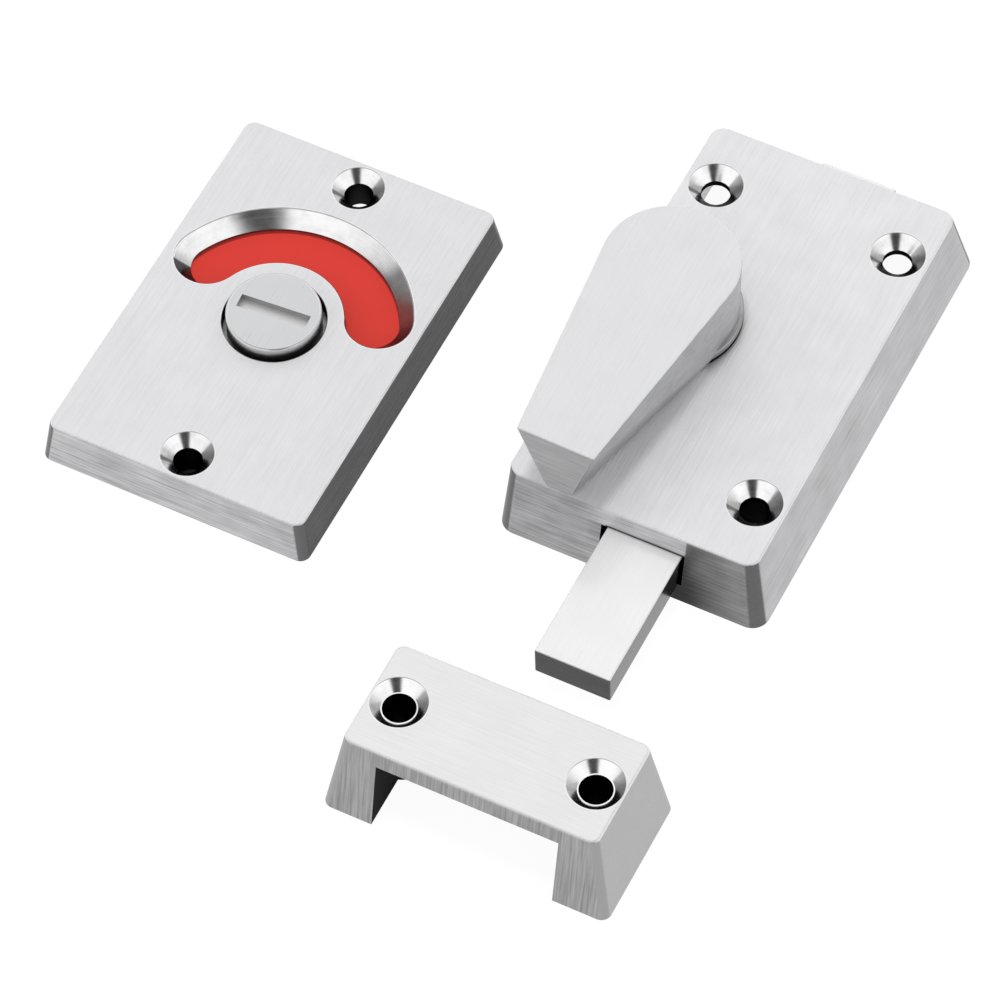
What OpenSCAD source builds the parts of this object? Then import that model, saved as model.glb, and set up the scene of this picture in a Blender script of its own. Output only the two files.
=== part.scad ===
// Toilet indicator bolt: an outside indicator plate, an inside lock case and a keeper,
// laid out flat and parallel. Millimetres, +Z up. The origin is the centre of the lock
// case's back face. X runs across the case, and the bolt leaves the case towards -Y.
// The bolt is shown thrown and the indicator shows red.

/* [Layout] */
// Place of the indicator plate's centre across the layout
plate_x = -66.6; // [-90:0.1:-60]
// Place of the indicator plate's centre along the layout
plate_y = -23.9; // [-40:0.1:0]
// Place of the keeper's centre across the layout
keeper_x = 0.8; // [-10:0.1:10]
// Place of the keeper's centre along the layout
keeper_y = -81.7; // [-110:0.1:-78]

/* [Fixing holes] */
// Diameter of the holes for the fixing screws
fix_hole_d = 4.6; // [4:0.1:5]
// Diameter of the countersink at the face
fix_sink_d = 8.5; // [7.5:0.1:9]

/* [Lock case] */
// Width of the case at its back
case_w = 46; // [45:0.5:54]
// Length of the case at its back
case_l = 78; // [76:0.5:96]
// Height of the case
case_h = 12; // [11.5:0.1:14]
// Lean of each side wall from back to face
case_inset = 2.5; // [0.5:0.1:2.8]
// Lean of the left side, which is steeper than the others
case_left_lean = 0.75; // [0.5:0.05:2.5]
// Corner radius of the face
case_corner_r = 2.3; // [0.8:0.1:3]
// Corner radius at the back
case_foot_r = 2.8; // [1:0.1:5]
// Thickness of the face wall
case_face_t = 3; // [2.4:0.1:3.4]
// Thickness of the long side walls at the back
case_side_t = 3.3; // [2.9:0.1:3.6]
// Thickness of the end walls at the back
case_end_t = 3.8; // [3.5:0.1:6]
// Corner radius of the hollow
hollow_r = 2; // [1:0.1:3]
// Distance of the fixing holes from the long sides
case_hole_side = 7.6; // [7.3:0.1:8.5]
// Distance of the fixing holes from the ends
case_hole_end = 13.4; // [10:0.1:14]

/* [Case back plate] */
// Width of the ledge in each side wall that the back plate lies on
back_ledge = 0.5; // [0.4:0.1:0.8]
// Length of the back plate
back_l = 43.6; // [41:0.1:45]
// Thickness of the back plate
back_t = 1.5; // [1.2:0.1:1.6]
// Corner radius of the back plate
back_corner_r = 1; // [0.5:0.1:2]
// Play of the back plate in its recess, on each side
back_gap = 0.1; // [0.05:0.05:0.2]
// Distance of the small screws from the back plate's long sides
back_screw_side = 3.2; // [3:0.1:4.2]
// Distance of the small screws from the back plate's ends
back_screw_end = 3.3; // [2.8:0.1:4]

/* [Drive] */
// Place of the turning axis across the case
pivot_x = -10.8; // [-11.2:0.1:-10]
// Pitch radius of the pinion, which sets the throw of the bolt
pitch_r = 7.5; // [7.2:0.1:7.6]
// Number of teeth on the pinion
teeth = 16; // [16:2:20]
// Turn of the lever from bolted to open
lever_turn = 180; // [180]
// Pressure angle of the teeth
pressure_angle = 20; // [18:1:22]
// Play left between meshing teeth, along the pitch line
backlash = 0.16; // [0.1:0.02:0.3]
// Radius of the journals
journal_r = 5; // [4.6:0.1:5.2]
// Side of the square end that carries the lever
drive_square = 7; // [6:0.1:7]
// Side of the square sockets for the spindle through the door
spindle_square = 5; // [4:0.1:5.5]
// Length of the square end that carries the lever
drive_square_l = 8.5; // [7:0.1:10]
// Wall of the two bushes
bush_wall = 1; // [0.8:0.1:1.2]
// Width of the bushes' flanges
bush_flange = 0.6; // [0.4:0.1:0.8]
// Width of the collar under the pinion
collar_w = 1.2; // [1:0.1:1.4]
// Radial running clearance of the journals
running_gap = 0.05; // [0.02:0.01:0.1]

/* [Bolt] */
// Width of the bolt
bolt_w = 12.4; // [11.5:0.1:13]
// Thickness of the bolt
bolt_t = 5.4; // [5:0.1:5.5]
// Length of bolt beyond the end of the case when thrown
bolt_out = 22.5; // [20:0.1:26]
// Length of the tail beyond the far end when thrown
tail_out = 0.3; // [0:0.1:2]
// Clearance of the bolt below the face wall
bolt_gap = 0.3; // [0.2:0.05:0.4]
// Clearance of the bolt in its slots
slot_gap = 0.2; // [0.15:0.05:0.4]
// Clearance of the bolt's slots on the right
slot_right_gap = 0.45; // [0.15:0.05:0.6]
// Diameter of the stop pin under the bolt
stop_pin_d = 3; // [2.5:0.1:3.5]
// Depth of the stop pin's seat in the bolt
stop_pin_seat = 3; // [2:0.1:4]
// Thickness of the friction spring's leaf
leaf_t = 0.4; // [0.3:0.05:0.5]
// Width of the friction spring's leaf
leaf_w = 4; // [3:0.1:4.5]
// Length of the friction spring from end to end
leaf_l = 34; // [28:0.5:36]

/* [Lever] */
// Radius of the lever's round end
lever_r = 10.7; // [10:0.1:12]
// Radius of the round end at its lower face
lever_low_r = 10.4; // [9.5:0.1:12]
// Radius of the round foot under the lever
lever_foot_r = 11.1; // [10:0.1:12]
// Height of the round foot
lever_foot_h = 1.8; // [1:0.1:1.9]
// Turn of the lever past the line of the bolt, when bolted
lever_past = 1.25; // [0:0.05:3]
// Length from the turning axis to the tip
lever_len = 37.6; // [30:0.1:45]
// Height of the lever
lever_h = 13.1; // [11:0.1:15]
// Width of the tip at the top
lever_tip_top = 12.8; // [9:0.1:16]
// Width of the tip at the underside
lever_tip_low = 4.4; // [3:0.1:9]
// Setback of the tip's lower edge
lever_tip_back = 0.8; // [0.2:0.1:2]
// Thickness of the washer under the lever
lever_washer_t = 0.55; // [0.4:0.05:0.8]
// Distance of the washer's rim inside the lever's round end
lever_washer_in = 1.5; // [1:0.1:2]
// Radius of the grub screw
grub_r = 2; // [1.5:0.1:2.2]
// Height of the grub screw above the lever's underside
grub_z = 4; // [3:0.1:5]
// Distance of the grub screw's end inside the lever's round end
grub_in = 1; // [0.5:0.1:2]
// Key size of the grub screw's socket, and the socket's depth
grub_key = 2.3; // [1.5:0.1:2.5]

/* [Indicator plate] */
// Width of the plate at its back
plate_w = 45.5; // [45:0.5:54]
// Length of the plate at its back
plate_l = 67.5; // [67:0.5:80]
// Height of the plate
plate_h = 7.5; // [7.3:0.1:8]
// Lean of each side from back to face
plate_inset = 1; // [0.4:0.1:1.5]
// Corner radius of the face
plate_corner_r = 1.8; // [0.8:0.1:3]
// Corner radius at the back
plate_foot_r = 1.7; // [1:0.1:4]
// Distance of the fixing holes from the ends
plate_hole_end = 5.75; // [5.5:0.05:6]
// Diameter of the fixing holes' countersinks on this plate
plate_sink_d = 8.2; // [7.5:0.1:8.6]
// Radius of the pocket for the disc
pocket_r = 20.5; // [20.4:0.1:21]
// Thickness of the face over the pocket
plate_face_t = 2.6; // [2.4:0.1:2.8]
// Inner radius of the window
window_in_r = 10.8; // [10.5:0.1:11.5]
// Outer radius of the window at the face
window_out_r = 21.4; // [20.8:0.1:21.4]
// Outer radius of the window behind its slope
window_low_r = 19.2; // [18.5:0.1:19.6]
// Width of the relief around each fixing hole at the back
plate_relief_w = 2; // [1:0.1:2.2]
// Depth of that relief
plate_relief_t = 0.5; // [0.3:0.1:2]
// Angle of the middle of the window's rounded ends above its level line, at the face
window_end = 23.75; // [18:0.25:40]
// The same angle behind the slope
window_low_end = 27; // [18:0.25:42]
// Turn of the window's level line from the X axis
window_turn = 1; // [0:0.25:5]

/* [Indicator works] */
// Radius of the indicator disc
disc_r = 20; // [19.8:0.1:20]
// Thickness of the indicator disc
disc_t = 1.2; // [1.1:0.1:1.4]
// Thickness of the coloured half rings let into the disc
colour_t = 0.3; // [0.2:0.05:0.4]
// Radius of the release knob
knob_r = 7.4; // [7:0.1:7.6]
// Clearance of the knob in the plate
knob_gap = 0.7; // [0.3:0.05:0.9]
// Height of the knob above the face
knob_proud = 2; // [1:0.1:3]
// Length of the coin slot
coin_slot_l = 11.5; // [9:0.1:12]
// Width of the coin slot
coin_slot_w = 2.4; // [1.8:0.1:3]
// Depth of the coin slot
coin_slot_depth = 1.2; // [0.8:0.1:1.8]
// Chamfer of the knob's rim
knob_edge = 0.3; // [0.1:0.05:0.5]
// Turn of the coin slot from the X axis
coin_slot_turn = 4; // [0:1:10]
// Radius of the knob's journal
knob_journal_r = 4.4; // [4.2:0.05:4.4]
// Side of the square that carries the disc
knob_square = 9; // [8.9:0.1:9.2]
// Width of the back cover
cover_w = 40; // [38:0.1:41]
// Length of the back cover
cover_l = 46; // [45:0.1:46]
// Thickness of the back cover
cover_t = 1.2; // [1:0.1:1.3]
// Corner radius of the back cover
cover_corner_r = 3; // [1:0.1:3.2]
// Play of the back cover in its recess, on each side
cover_gap = 0.1; // [0.05:0.05:0.2]
// Distance of the cover screws from the cover's edges
cover_screw_edge = 3.5; // [3:0.1:3.8]
// Rim of the disc outside the colours
colour_rim = 0.3; // [0.2:0.05:0.4]
// Rim of the colours that the face hides inside the window
colour_lap = 0.2; // [0.1:0.05:0.3]
// Radius of the pin that stops the disc
track_pin_r = 0.6; // [0.5:0.05:0.65]
// Depth of that pin's seat in the face
track_pin_seat = 1.4; // [1:0.1:1.8]
// Width of the circlip outside the square
clip_w = 1.9; // [1.5:0.1:2.2]
// Mouth of the circlip
clip_mouth = 5; // [4:0.1:6]
// Width of the spring washer's ring
spring_w = 2.4; // [1.8:0.1:3]
// Thickness of the spring washer's sheet
spring_t = 0.4; // [0.3:0.05:0.45]

/* [Keeper] */
// Length of the keeper at its feet
keeper_w = 47; // [44:0.5:52]
// Depth of the keeper at its feet
keeper_d = 24.5; // [20:0.5:30]
// Height of the keeper
keeper_h = 15; // [13.5:0.1:18]
// Lean of each side from feet to face
keeper_inset = 3; // [1:0.1:3.3]
// Lean of its left end
keeper_left_lean = 2.4; // [1:0.1:3]
// Lean of its side towards the case
keeper_back_lean = 1; // [0.5:0.1:3]
// Corner radius of the face
keeper_corner_r = 1.5; // [0.8:0.1:3]
// Corner radius at the feet
keeper_foot_r = 1.6; // [0.8:0.1:4]
// Thickness of the bridge
keeper_bridge_t = 2.8; // [2.4:0.1:4]
// Thickness of each leg at its foot
keeper_leg_t = 8.8; // [8:0.1:9.5]
// Distance of the fixing holes from the ends
keeper_hole_side = 7.6; // [7.5:0.1:8.5]
// Diameter of the keeper's fixing holes
keeper_hole_d = 5.1; // [4:0.1:5.4]
// Diameter of their countersinks
keeper_sink_d = 8.7; // [7.5:0.1:8.8]
// Wall of the pillars around the fixing holes
keeper_pillar_t = 1.35; // [1.2:0.05:2]

/* [Hidden] */
$fn = 64;
// Overlap that lets a cut leave the body cleanly
over = 0.5;
// Play of a square in its socket, and of a piece that only has to pass
square_fit = 0.06;
loose_fit = 0.3;
// Height of the shafts' lower ends above the door
shaft_low = 0.2;

// Places in the lock case
hollow_w = case_w - 2 * case_side_t;
hollow_l = case_l - 2 * case_end_t;
case_hole_dx = case_w - 2 * case_hole_side;
case_hole_dy = case_l - 2 * case_hole_end;
back_w = hollow_w + 2 * back_ledge;
back_screw_dx = back_w - 2 * back_screw_side;
back_screw_dy = back_l - 2 * back_screw_end;

// Levels in the lock case
case_ceiling = case_h - case_face_t;
bolt_top = case_ceiling - bolt_gap;
bolt_low = bolt_top - bolt_t;
flange_t = 0.6;
thrust_gap = 0.1;
gear_top = case_ceiling - flange_t - thrust_gap;
gear_low = bolt_low;
collar_low = back_t + flange_t + thrust_gap;
lever_low = case_h + lever_washer_t + running_gap;
lever_top = lever_low + lever_h;

// Places along the bolt
bolt_left = pivot_x + pitch_r - 0.1;
bolt_x = bolt_left + bolt_w / 2;
bolt_tip_y = -case_l / 2 - bolt_out;
bolt_tail_y = case_l / 2 + tail_out;
throw = pitch_r * lever_turn * PI / 180;
stop_pin_x = bolt_x + bolt_w / 4;

// Toothing
tooth_module = 2 * pitch_r / teeth;
tooth_pitch = PI * tooth_module;
addendum = 0.9 * tooth_module;
dedendum = 1.15 * tooth_module;
pitch_line_x = pivot_x + pitch_r;
rack_root_x = pitch_line_x + dedendum;
rack_tip_x = pitch_line_x - addendum;
rack_first = -ceil(throw / tooth_pitch) - 2;
rack_last = 1;

// Bushes
bush_r = journal_r + running_gap + bush_wall;
bush_flange_r = bush_r + bush_flange;

// Levels in the indicator plate
plate_ceiling = plate_h - plate_face_t;
disc_top = plate_ceiling - loose_fit;
disc_low = disc_top - disc_t;
knob_top = plate_h + knob_proud;
clip_t = 0.7;
clip_top = disc_low - thrust_gap;
clip_low = clip_top - clip_t;
clip_groove_t = 0.5;
clip_groove_r = knob_journal_r - clip_groove_t;
clip_play = 0.05;
stop_track_r = (knob_r + knob_gap + window_in_r) / 2;

// Places in the indicator plate and the keeper
plate_hole_y = plate_l / 2 - plate_hole_end;
cover_screw_dx = cover_w - 2 * cover_screw_edge;
cover_screw_dy = cover_l - 2 * cover_screw_edge;
keeper_gap_w = keeper_w - 2 * keeper_leg_t;
keeper_hole_dx = keeper_w - 2 * keeper_hole_side;

// Small machine screws
small_r = 1.25;
small_head_r = 2.2;
small_head_t = small_head_r - small_r;
small_slot_l = 3;
small_slot_w = 0.6;
small_slot_t = 0.6;
post_wall = 1.35;
// Metal left above a small screw's hole, and free space at the screw's end
screw_floor = 2;
screw_end_gap = 0.6;

module at_plate() { translate([plate_x, plate_y, 0]) children(); }
module at_pivot() { translate([pivot_x, 0, 0]) children(); }
module at_lever() { at_pivot() rotate([0, 0, -lever_past]) children(); }
module at_keeper() { translate([keeper_x, keeper_y, 0]) children(); }

// Children at the four corners of a rectangle
module at_corners(dx, dy) {
    for (sx = [-1, 1], sy = [-1, 1])
        translate([sx * dx / 2, sy * dy / 2, 0]) children();
}

// Block with leaning sides and rounded upright corners; the left and far sides may lean less
module drafted_block(w, l, h, inset, corner_r, foot_r, less_left = 0, less_back = 0) {
    skin = 0.01;
    hull() {
        translate([less_left / 2, -less_back / 2, 0])
            rounded_sheet(w - less_left, l - less_back, skin, foot_r, $fn = 48);
        translate([0, 0, h - skin])
            rounded_sheet(w - 2 * inset, l - 2 * inset, skin, corner_r, $fn = 48);
    }
}

// Screw hole with a right-angled countersink, from the face at z = 0 downwards
module sunk_hole(depth, hole_d, sink_d) {
    sink_t = (sink_d - hole_d) / 2;
    translate([0, 0, -depth - over]) cylinder(h = depth + 2 * over, d = hole_d);
    translate([0, 0, -sink_t]) cylinder(h = sink_t + over, d1 = hole_d, d2 = sink_d + 2 * over);
}

// Small countersunk screw, head flush with z = 0, shank upwards
module small_screw(length) {
    difference() {
        union() {
            cylinder(h = small_head_t, r1 = small_head_r, r2 = small_r);
            cylinder(h = length, r = small_r);
        }
        translate([0, 0, -over]) linear_extrude(height = over + small_slot_t)
            square([small_slot_l, small_slot_w], center = true);
    }
}

// Hole for a small screw through a sheet that starts at z = 0
module small_screw_hole(length) {
    translate([0, 0, -over]) cylinder(h = length + over, r = small_r);
    translate([0, 0, -over])
        cylinder(h = small_head_t + over, r1 = small_head_r + over, r2 = small_r);
}

// Block with rounded corners and true arcs
module rounded_sheet(w, l, t, r) {
    linear_extrude(height = t) {
        square([w - 2 * r, l], center = true);
        square([w, l - 2 * r], center = true);
        for (sx = [-1, 1], sy = [-1, 1])
            translate([sx * (w / 2 - r), sy * (l / 2 - r)]) circle(r = r);
    }
}

// Polar angle of the involute at a radius, from where it leaves its base circle
function involute_angle(base_r, r) =
    let (unroll = sqrt(max(0, pow(r / base_r, 2) - 1)))
    unroll * 180 / PI - atan(unroll);

function polar(r, a) = [r * cos(a), r * sin(a)];

// Outline of the pinion, with one tooth on the +X axis
function pinion_outline(steps = 6) =
    let (
        base_r = pitch_r * cos(pressure_angle),
        tip_r = pitch_r + addendum,
        root_r = pitch_r - dedendum,
        half = (tooth_pitch - backlash) / 4 / pitch_r * 180 / PI + involute_angle(base_r, pitch_r),
        radii = [for (i = [0:steps]) base_r + (tip_r - base_r) * i / steps]
    )
    [for (k = [0:teeth - 1])
        let (mid = k * 360 / teeth)
        each concat(
            [polar(root_r, mid - half)],
            [for (r = radii) polar(r, mid - half + involute_angle(base_r, r))],
            [for (i = [steps:-1:0]) polar(radii[i], mid + half - involute_angle(base_r, radii[i]))],
            [polar(root_r, mid + half)]
        )];

// Corners of the rack's teeth, from the low end to the high end, points towards -X
function rack_teeth() =
    let (
        lean = tan(pressure_angle),
        half = (tooth_pitch - backlash) / 4,
        root_half = half + dedendum * lean,
        tip_half = half - addendum * lean
    )
    [for (k = [rack_first:rack_last])
        let (y = (k + 0.5) * tooth_pitch)
        each [
            [rack_root_x, y - root_half], [rack_tip_x, y - tip_half],
            [rack_tip_x, y + tip_half], [rack_root_x, y + root_half]
        ]];

// Outline of the bolt, with the rack let into its left edge
function bolt_outline() =
    let (
        right = bolt_left + bolt_w,
        rack_low_y = rack_first * tooth_pitch,
        rack_high_y = (rack_last + 1) * tooth_pitch
    )
    concat(
        [[right, bolt_tip_y], [bolt_left, bolt_tip_y]],
        [[bolt_left, rack_low_y], [rack_root_x, rack_low_y]],
        rack_teeth(),
        [[rack_root_x, rack_high_y], [bolt_left, rack_high_y]],
        [[bolt_left, bolt_tail_y], [right, bolt_tail_y]]
    );

module bolt_slots() {
    slot_left = rack_tip_x - slot_gap;
    slot_right = bolt_left + bolt_w + slot_right_gap;
    translate([slot_left, -case_l, bolt_low - slot_gap])
        cube([slot_right - slot_left, 2 * case_l, bolt_t + 2 * slot_gap]);
}

module lock_case() {
    post_r = small_r + post_wall;
    color("gainsboro")
    difference() {
        drafted_block(
            case_w, case_l, case_h, case_inset, case_corner_r, case_foot_r, case_inset - case_left_lean
        );
        difference() {
            translate([0, 0, -over]) rounded_sheet(hollow_w, hollow_l, case_ceiling + over, hollow_r);
            at_corners(back_screw_dx, back_screw_dy)
                translate([0, 0, back_t]) cylinder(h = case_h, r = post_r);
        }
        translate([0, 0, -over])
            rounded_sheet(
                back_w + 2 * back_gap, back_l + 2 * back_gap, back_t + over, back_corner_r + back_gap
            );
        at_corners(back_screw_dx, back_screw_dy) cylinder(h = case_ceiling - screw_floor, r = small_r);
        at_corners(case_hole_dx, case_hole_dy)
            translate([0, 0, case_h]) sunk_hole(case_face_t, fix_hole_d, fix_sink_d);
        at_pivot() cylinder(h = case_h + over, r = bush_r);
        bolt_slots();
    }
}

module case_back_plate() {
    slot_r = stop_pin_d / 2 + slot_gap;
    color("silver")
    difference() {
        rounded_sheet(back_w, back_l, back_t, back_corner_r);
        at_corners(back_screw_dx, back_screw_dy) small_screw_hole(back_t + over);
        at_pivot() translate([0, 0, -over]) cylinder(h = back_t + 2 * over, r = bush_r);
        translate([stop_pin_x, 0, -over]) {
            linear_extrude(height = back_t + 2 * over) square([2 * slot_r, throw], center = true);
            for (s = [-1, 1])
                translate([0, s * throw / 2, 0]) cylinder(h = back_t + 2 * over, r = slot_r);
        }
    }
}

module back_plate_screws() {
    color("dimgray")
    at_corners(back_screw_dx, back_screw_dy) small_screw(case_ceiling - screw_floor - screw_end_gap);
}

// Straight bar with the rack along its left edge and a hole for the stop pin
module bolt() {
    color("whitesmoke")
    difference() {
        translate([0, 0, bolt_low]) linear_extrude(height = bolt_t) polygon(bolt_outline());
        translate([stop_pin_x, -throw / 2, bolt_low - over])
            cylinder(h = over + stop_pin_seat, r = stop_pin_d / 2);
    }
}

module bolt_stop_pin() {
    color("gray")
    translate([stop_pin_x, -throw / 2, shaft_low])
        cylinder(h = bolt_low + stop_pin_seat - shaft_low, d = stop_pin_d);
}

// Shaft in one piece: journals, collar, pinion, square for the lever and spindle socket
module drive_pinion() {
    color("darkgray")
    at_pivot()
    difference() {
        union() {
            translate([0, 0, shaft_low]) cylinder(h = lever_low - shaft_low, r = journal_r);
            translate([0, 0, collar_low])
                cylinder(h = gear_low + over - collar_low, r = journal_r + collar_w);
            translate([0, 0, gear_low])
                linear_extrude(height = gear_top - gear_low) polygon(pinion_outline());
            rotate([0, 0, -lever_past])
                translate([0, 0, lever_low - over])
                    linear_extrude(height = over + drive_square_l) square(drive_square, center = true);
        }
        translate([0, 0, -over])
            linear_extrude(height = gear_top + over) square(spindle_square, center = true);
    }
}

// Flanged bush, its flange upwards from z = 0
module flanged_bush(length) {
    bore_r = journal_r + running_gap;
    rotate_extrude()
        polygon([
            [bore_r, -length], [bush_r, -length], [bush_r, 0], [bush_flange_r, 0],
            [bush_flange_r, flange_t], [bore_r, flange_t]
        ]);
}

module upper_bush() {
    color("burlywood")
    at_pivot()
    translate([0, 0, case_ceiling]) mirror([0, 0, 1]) flanged_bush(case_face_t);
}

module lower_bush() {
    color("burlywood") at_pivot() translate([0, 0, back_t]) flanged_bush(back_t);
}

// Bowed leaf between the back plate and the underside of the bolt
module friction_spring() {
    top = bolt_low - slot_gap;
    rise = top - leaf_t - back_t;
    bow_r = (pow(leaf_l / 2, 2) + pow(rise, 2)) / (2 * rise);
    centre_z = top - leaf_t - bow_r;
    color("slategray")
    translate([stop_pin_x - stop_pin_d / 2 - slot_gap - over - leaf_w, 0, 0])
        rotate([90, 0, 90])
            linear_extrude(height = leaf_w)
                intersection() {
                    translate([0, centre_z])
                        difference() {
                            circle(r = bow_r + leaf_t);
                            circle(r = bow_r);
                        }
                    translate([-leaf_l / 2, back_t]) square([leaf_l, case_h]);
                }
}

// Handle with an upright round end; its sides close in towards the tip's underside
module turn_lever() {
    leaf = 0.02;
    socket = drive_square + square_fit;
    color("gainsboro")
    at_lever()
    difference() {
        union() {
            hull() {
                translate([0, 0, lever_low]) cylinder(h = lever_h, r1 = lever_low_r, r2 = lever_r, $fn = 96);
                translate([-lever_tip_top / 2, -lever_len, lever_top - leaf])
                    cube([lever_tip_top, leaf, leaf]);
                translate([-lever_tip_low / 2, -lever_len + lever_tip_back, lever_low])
                    cube([lever_tip_low, leaf, leaf]);
            }
            translate([0, 0, lever_low]) cylinder(h = lever_foot_h, r = lever_foot_r);
        }
        translate([0, 0, lever_low - over])
            linear_extrude(height = over + drive_square_l + thrust_gap) square(socket, center = true);
        translate([0, 0, lever_low + grub_z]) rotate([-90, 0, 0]) cylinder(h = 2 * lever_r, r = grub_r);
    }
}

module lever_washer() {
    color("black")
    at_pivot()
    translate([0, 0, case_h])
    difference() {
        cylinder(h = lever_washer_t, r = lever_r - lever_washer_in);
        translate([0, 0, -over]) cylinder(h = case_h, r = journal_r + loose_fit);
    }
}

module lever_grub_screw() {
    reach = drive_square / 2;
    length = lever_low_r - grub_in - reach;
    color("dimgray")
    at_lever()
    translate([0, reach, lever_low + grub_z])
    rotate([-90, 0, 0])
    difference() {
        cylinder(h = length, r = grub_r);
        translate([0, 0, length - grub_key]) cylinder(h = grub_key + over, d = grub_key, $fn = 6);
    }
}

// Half-ring opening: sloped outside, upright inside, rounded at both ends
module window_cut() {
    slope = (window_out_r - window_low_r) / plate_face_t;
    swing = (window_low_end - window_end) / plate_face_t;
    low_z = plate_ceiling - over;
    top_z = plate_h + over;
    low_r = window_low_r - slope * over;
    top_r = window_out_r + slope * over;
    low_a = window_low_end + swing * over;
    top_a = window_end - swing * over;
    rotate([0, 0, low_a])
        rotate_extrude(angle = 180 - 2 * low_a)
            polygon([[window_in_r, low_z], [low_r, low_z], [top_r, top_z], [window_in_r, top_z]]);
    for (left = [0, 1])
        mirror([left, 0, 0])
            hull() {
                rotate([0, 0, low_a])
                    translate([(low_r + window_in_r) / 2, 0, low_z])
                        cylinder(h = 0.01, r = (low_r - window_in_r) / 2, $fn = 48);
                for (a = [low_a, top_a])
                    rotate([0, 0, a])
                        translate([(top_r + window_in_r) / 2, 0, top_z])
                            cylinder(h = 0.01, r = (top_r - window_in_r) / 2, $fn = 48);
            }
}

module indicator_plate() {
    relief_r = fix_hole_d / 2 + plate_relief_w;
    color("gainsboro")
    at_plate()
    difference() {
        drafted_block(plate_w, plate_l, plate_h, plate_inset, plate_corner_r, plate_foot_r);
        translate([0, 0, -over]) cylinder(h = plate_ceiling + over, r = pocket_r);
        translate([0, 0, -over])
            rounded_sheet(
                cover_w + 2 * cover_gap, cover_l + 2 * cover_gap, cover_t + over, cover_corner_r + cover_gap
            );
        at_corners(cover_screw_dx, cover_screw_dy) cylinder(h = plate_h - screw_floor, r = small_r);
        cylinder(h = plate_h + over, r = knob_r + knob_gap);
        rotate([0, 0, window_turn]) window_cut();
        for (s = [-1, 1]) translate([0, s * plate_hole_y, 0]) {
            translate([0, 0, plate_h]) sunk_hole(plate_h, fix_hole_d, plate_sink_d);
            translate([0, 0, -over]) cylinder(h = over + plate_relief_t, r = relief_r);
        }
        translate([0, -stop_track_r, 0]) cylinder(h = plate_ceiling + track_pin_seat, r = track_pin_r);
    }
}

// Knob with its journal, the square for the disc, a clip groove and a spindle socket
module release_knob() {
    color("gainsboro")
    at_plate()
    difference() {
        union() {
            rotate_extrude()
                polygon([
                    [0, shaft_low], [knob_journal_r, shaft_low], [knob_journal_r, clip_low - clip_play],
                    [clip_groove_r, clip_low - clip_play], [clip_groove_r, clip_top + clip_play],
                    [knob_journal_r, clip_top + clip_play], [knob_journal_r, disc_top],
                    [knob_r, disc_top], [knob_r, knob_top - knob_edge], [knob_r - knob_edge, knob_top],
                    [0, knob_top]
                ]);
            translate([0, 0, disc_low])
                linear_extrude(height = disc_t) square(knob_square, center = true);
        }
        rotate([0, 0, coin_slot_turn])
            translate([0, 0, knob_top - coin_slot_depth])
                linear_extrude(height = coin_slot_depth + over)
                    square([coin_slot_l, coin_slot_w], center = true);
        translate([0, 0, -over])
            linear_extrude(height = disc_top + over) square(spindle_square, center = true);
    }
}

module half_ring(inner_r, outer_r, t) {
    rotate_extrude(angle = 180)
        translate([inner_r, 0]) square([outer_r - inner_r, t]);
}

// Disc with a shallow seat for the colours and a half-turn track for the stop pin
module indicator_disc() {
    track = track_pin_r + slot_gap;
    color("silver")
    at_plate()
    difference() {
        translate([0, 0, disc_low]) cylinder(h = disc_t, r = disc_r);
        translate([0, 0, disc_low - over])
            linear_extrude(height = disc_t + 2 * over) square(knob_square + square_fit, center = true);
        translate([0, 0, disc_top - colour_t])
            difference() {
                cylinder(h = over, r = disc_r - colour_rim);
                translate([0, 0, -over]) cylinder(h = 3 * over, r = window_in_r - colour_lap);
            }
        translate([0, 0, disc_low - over]) {
            rotate([0, 0, -90]) half_ring(stop_track_r - track, stop_track_r + track, disc_t + 2 * over);
            for (s = [-1, 1])
                translate([0, s * stop_track_r, 0]) cylinder(h = disc_t + 2 * over, r = track);
        }
    }
}

module colour_sector() {
    translate([0, 0, disc_top - colour_t])
        half_ring(window_in_r - colour_lap, disc_r - colour_rim, colour_t);
}

module red_sector() {
    color("crimson") at_plate() colour_sector();
}

module green_sector() {
    color("green") at_plate() rotate([0, 0, 180]) colour_sector();
}

module disc_circlip() {
    color("dimgray")
    at_plate()
    translate([0, 0, clip_low])
    difference() {
        cylinder(h = clip_t, r = knob_square / 2 + clip_w);
        translate([0, 0, -over]) cylinder(h = clip_t + 2 * over, r = clip_groove_r);
        translate([0, knob_journal_r, clip_t / 2])
            cube([clip_mouth, 2 * knob_journal_r, 2 * clip_t], center = true);
    }
}

// Dished spring washer between the circlip and the back cover
module spring_washer() {
    rise = clip_low - cover_t - spring_t - clip_play;
    inner = knob_journal_r + loose_fit;
    outer = inner + spring_w;
    color("slategray")
    at_plate()
    translate([0, 0, cover_t])
    rotate_extrude()
        polygon([[inner, rise], [outer, 0], [outer, spring_t], [inner, rise + spring_t]]);
}

module disc_stop_pin() {
    color("gray")
    at_plate()
    translate([0, -stop_track_r, disc_low - slot_gap])
        cylinder(h = plate_ceiling + track_pin_seat - disc_low + slot_gap, r = track_pin_r);
}

module plate_back_cover() {
    color("silver")
    at_plate()
    difference() {
        rounded_sheet(cover_w, cover_l, cover_t, cover_corner_r);
        translate([0, 0, -over]) cylinder(h = cover_t + 2 * over, r = knob_journal_r + running_gap);
        at_corners(cover_screw_dx, cover_screw_dy) small_screw_hole(cover_t + over);
    }
}

module cover_screws() {
    color("dimgray")
    at_plate()
    at_corners(cover_screw_dx, cover_screw_dy) small_screw(plate_h - screw_floor - screw_end_gap);
}

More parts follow.
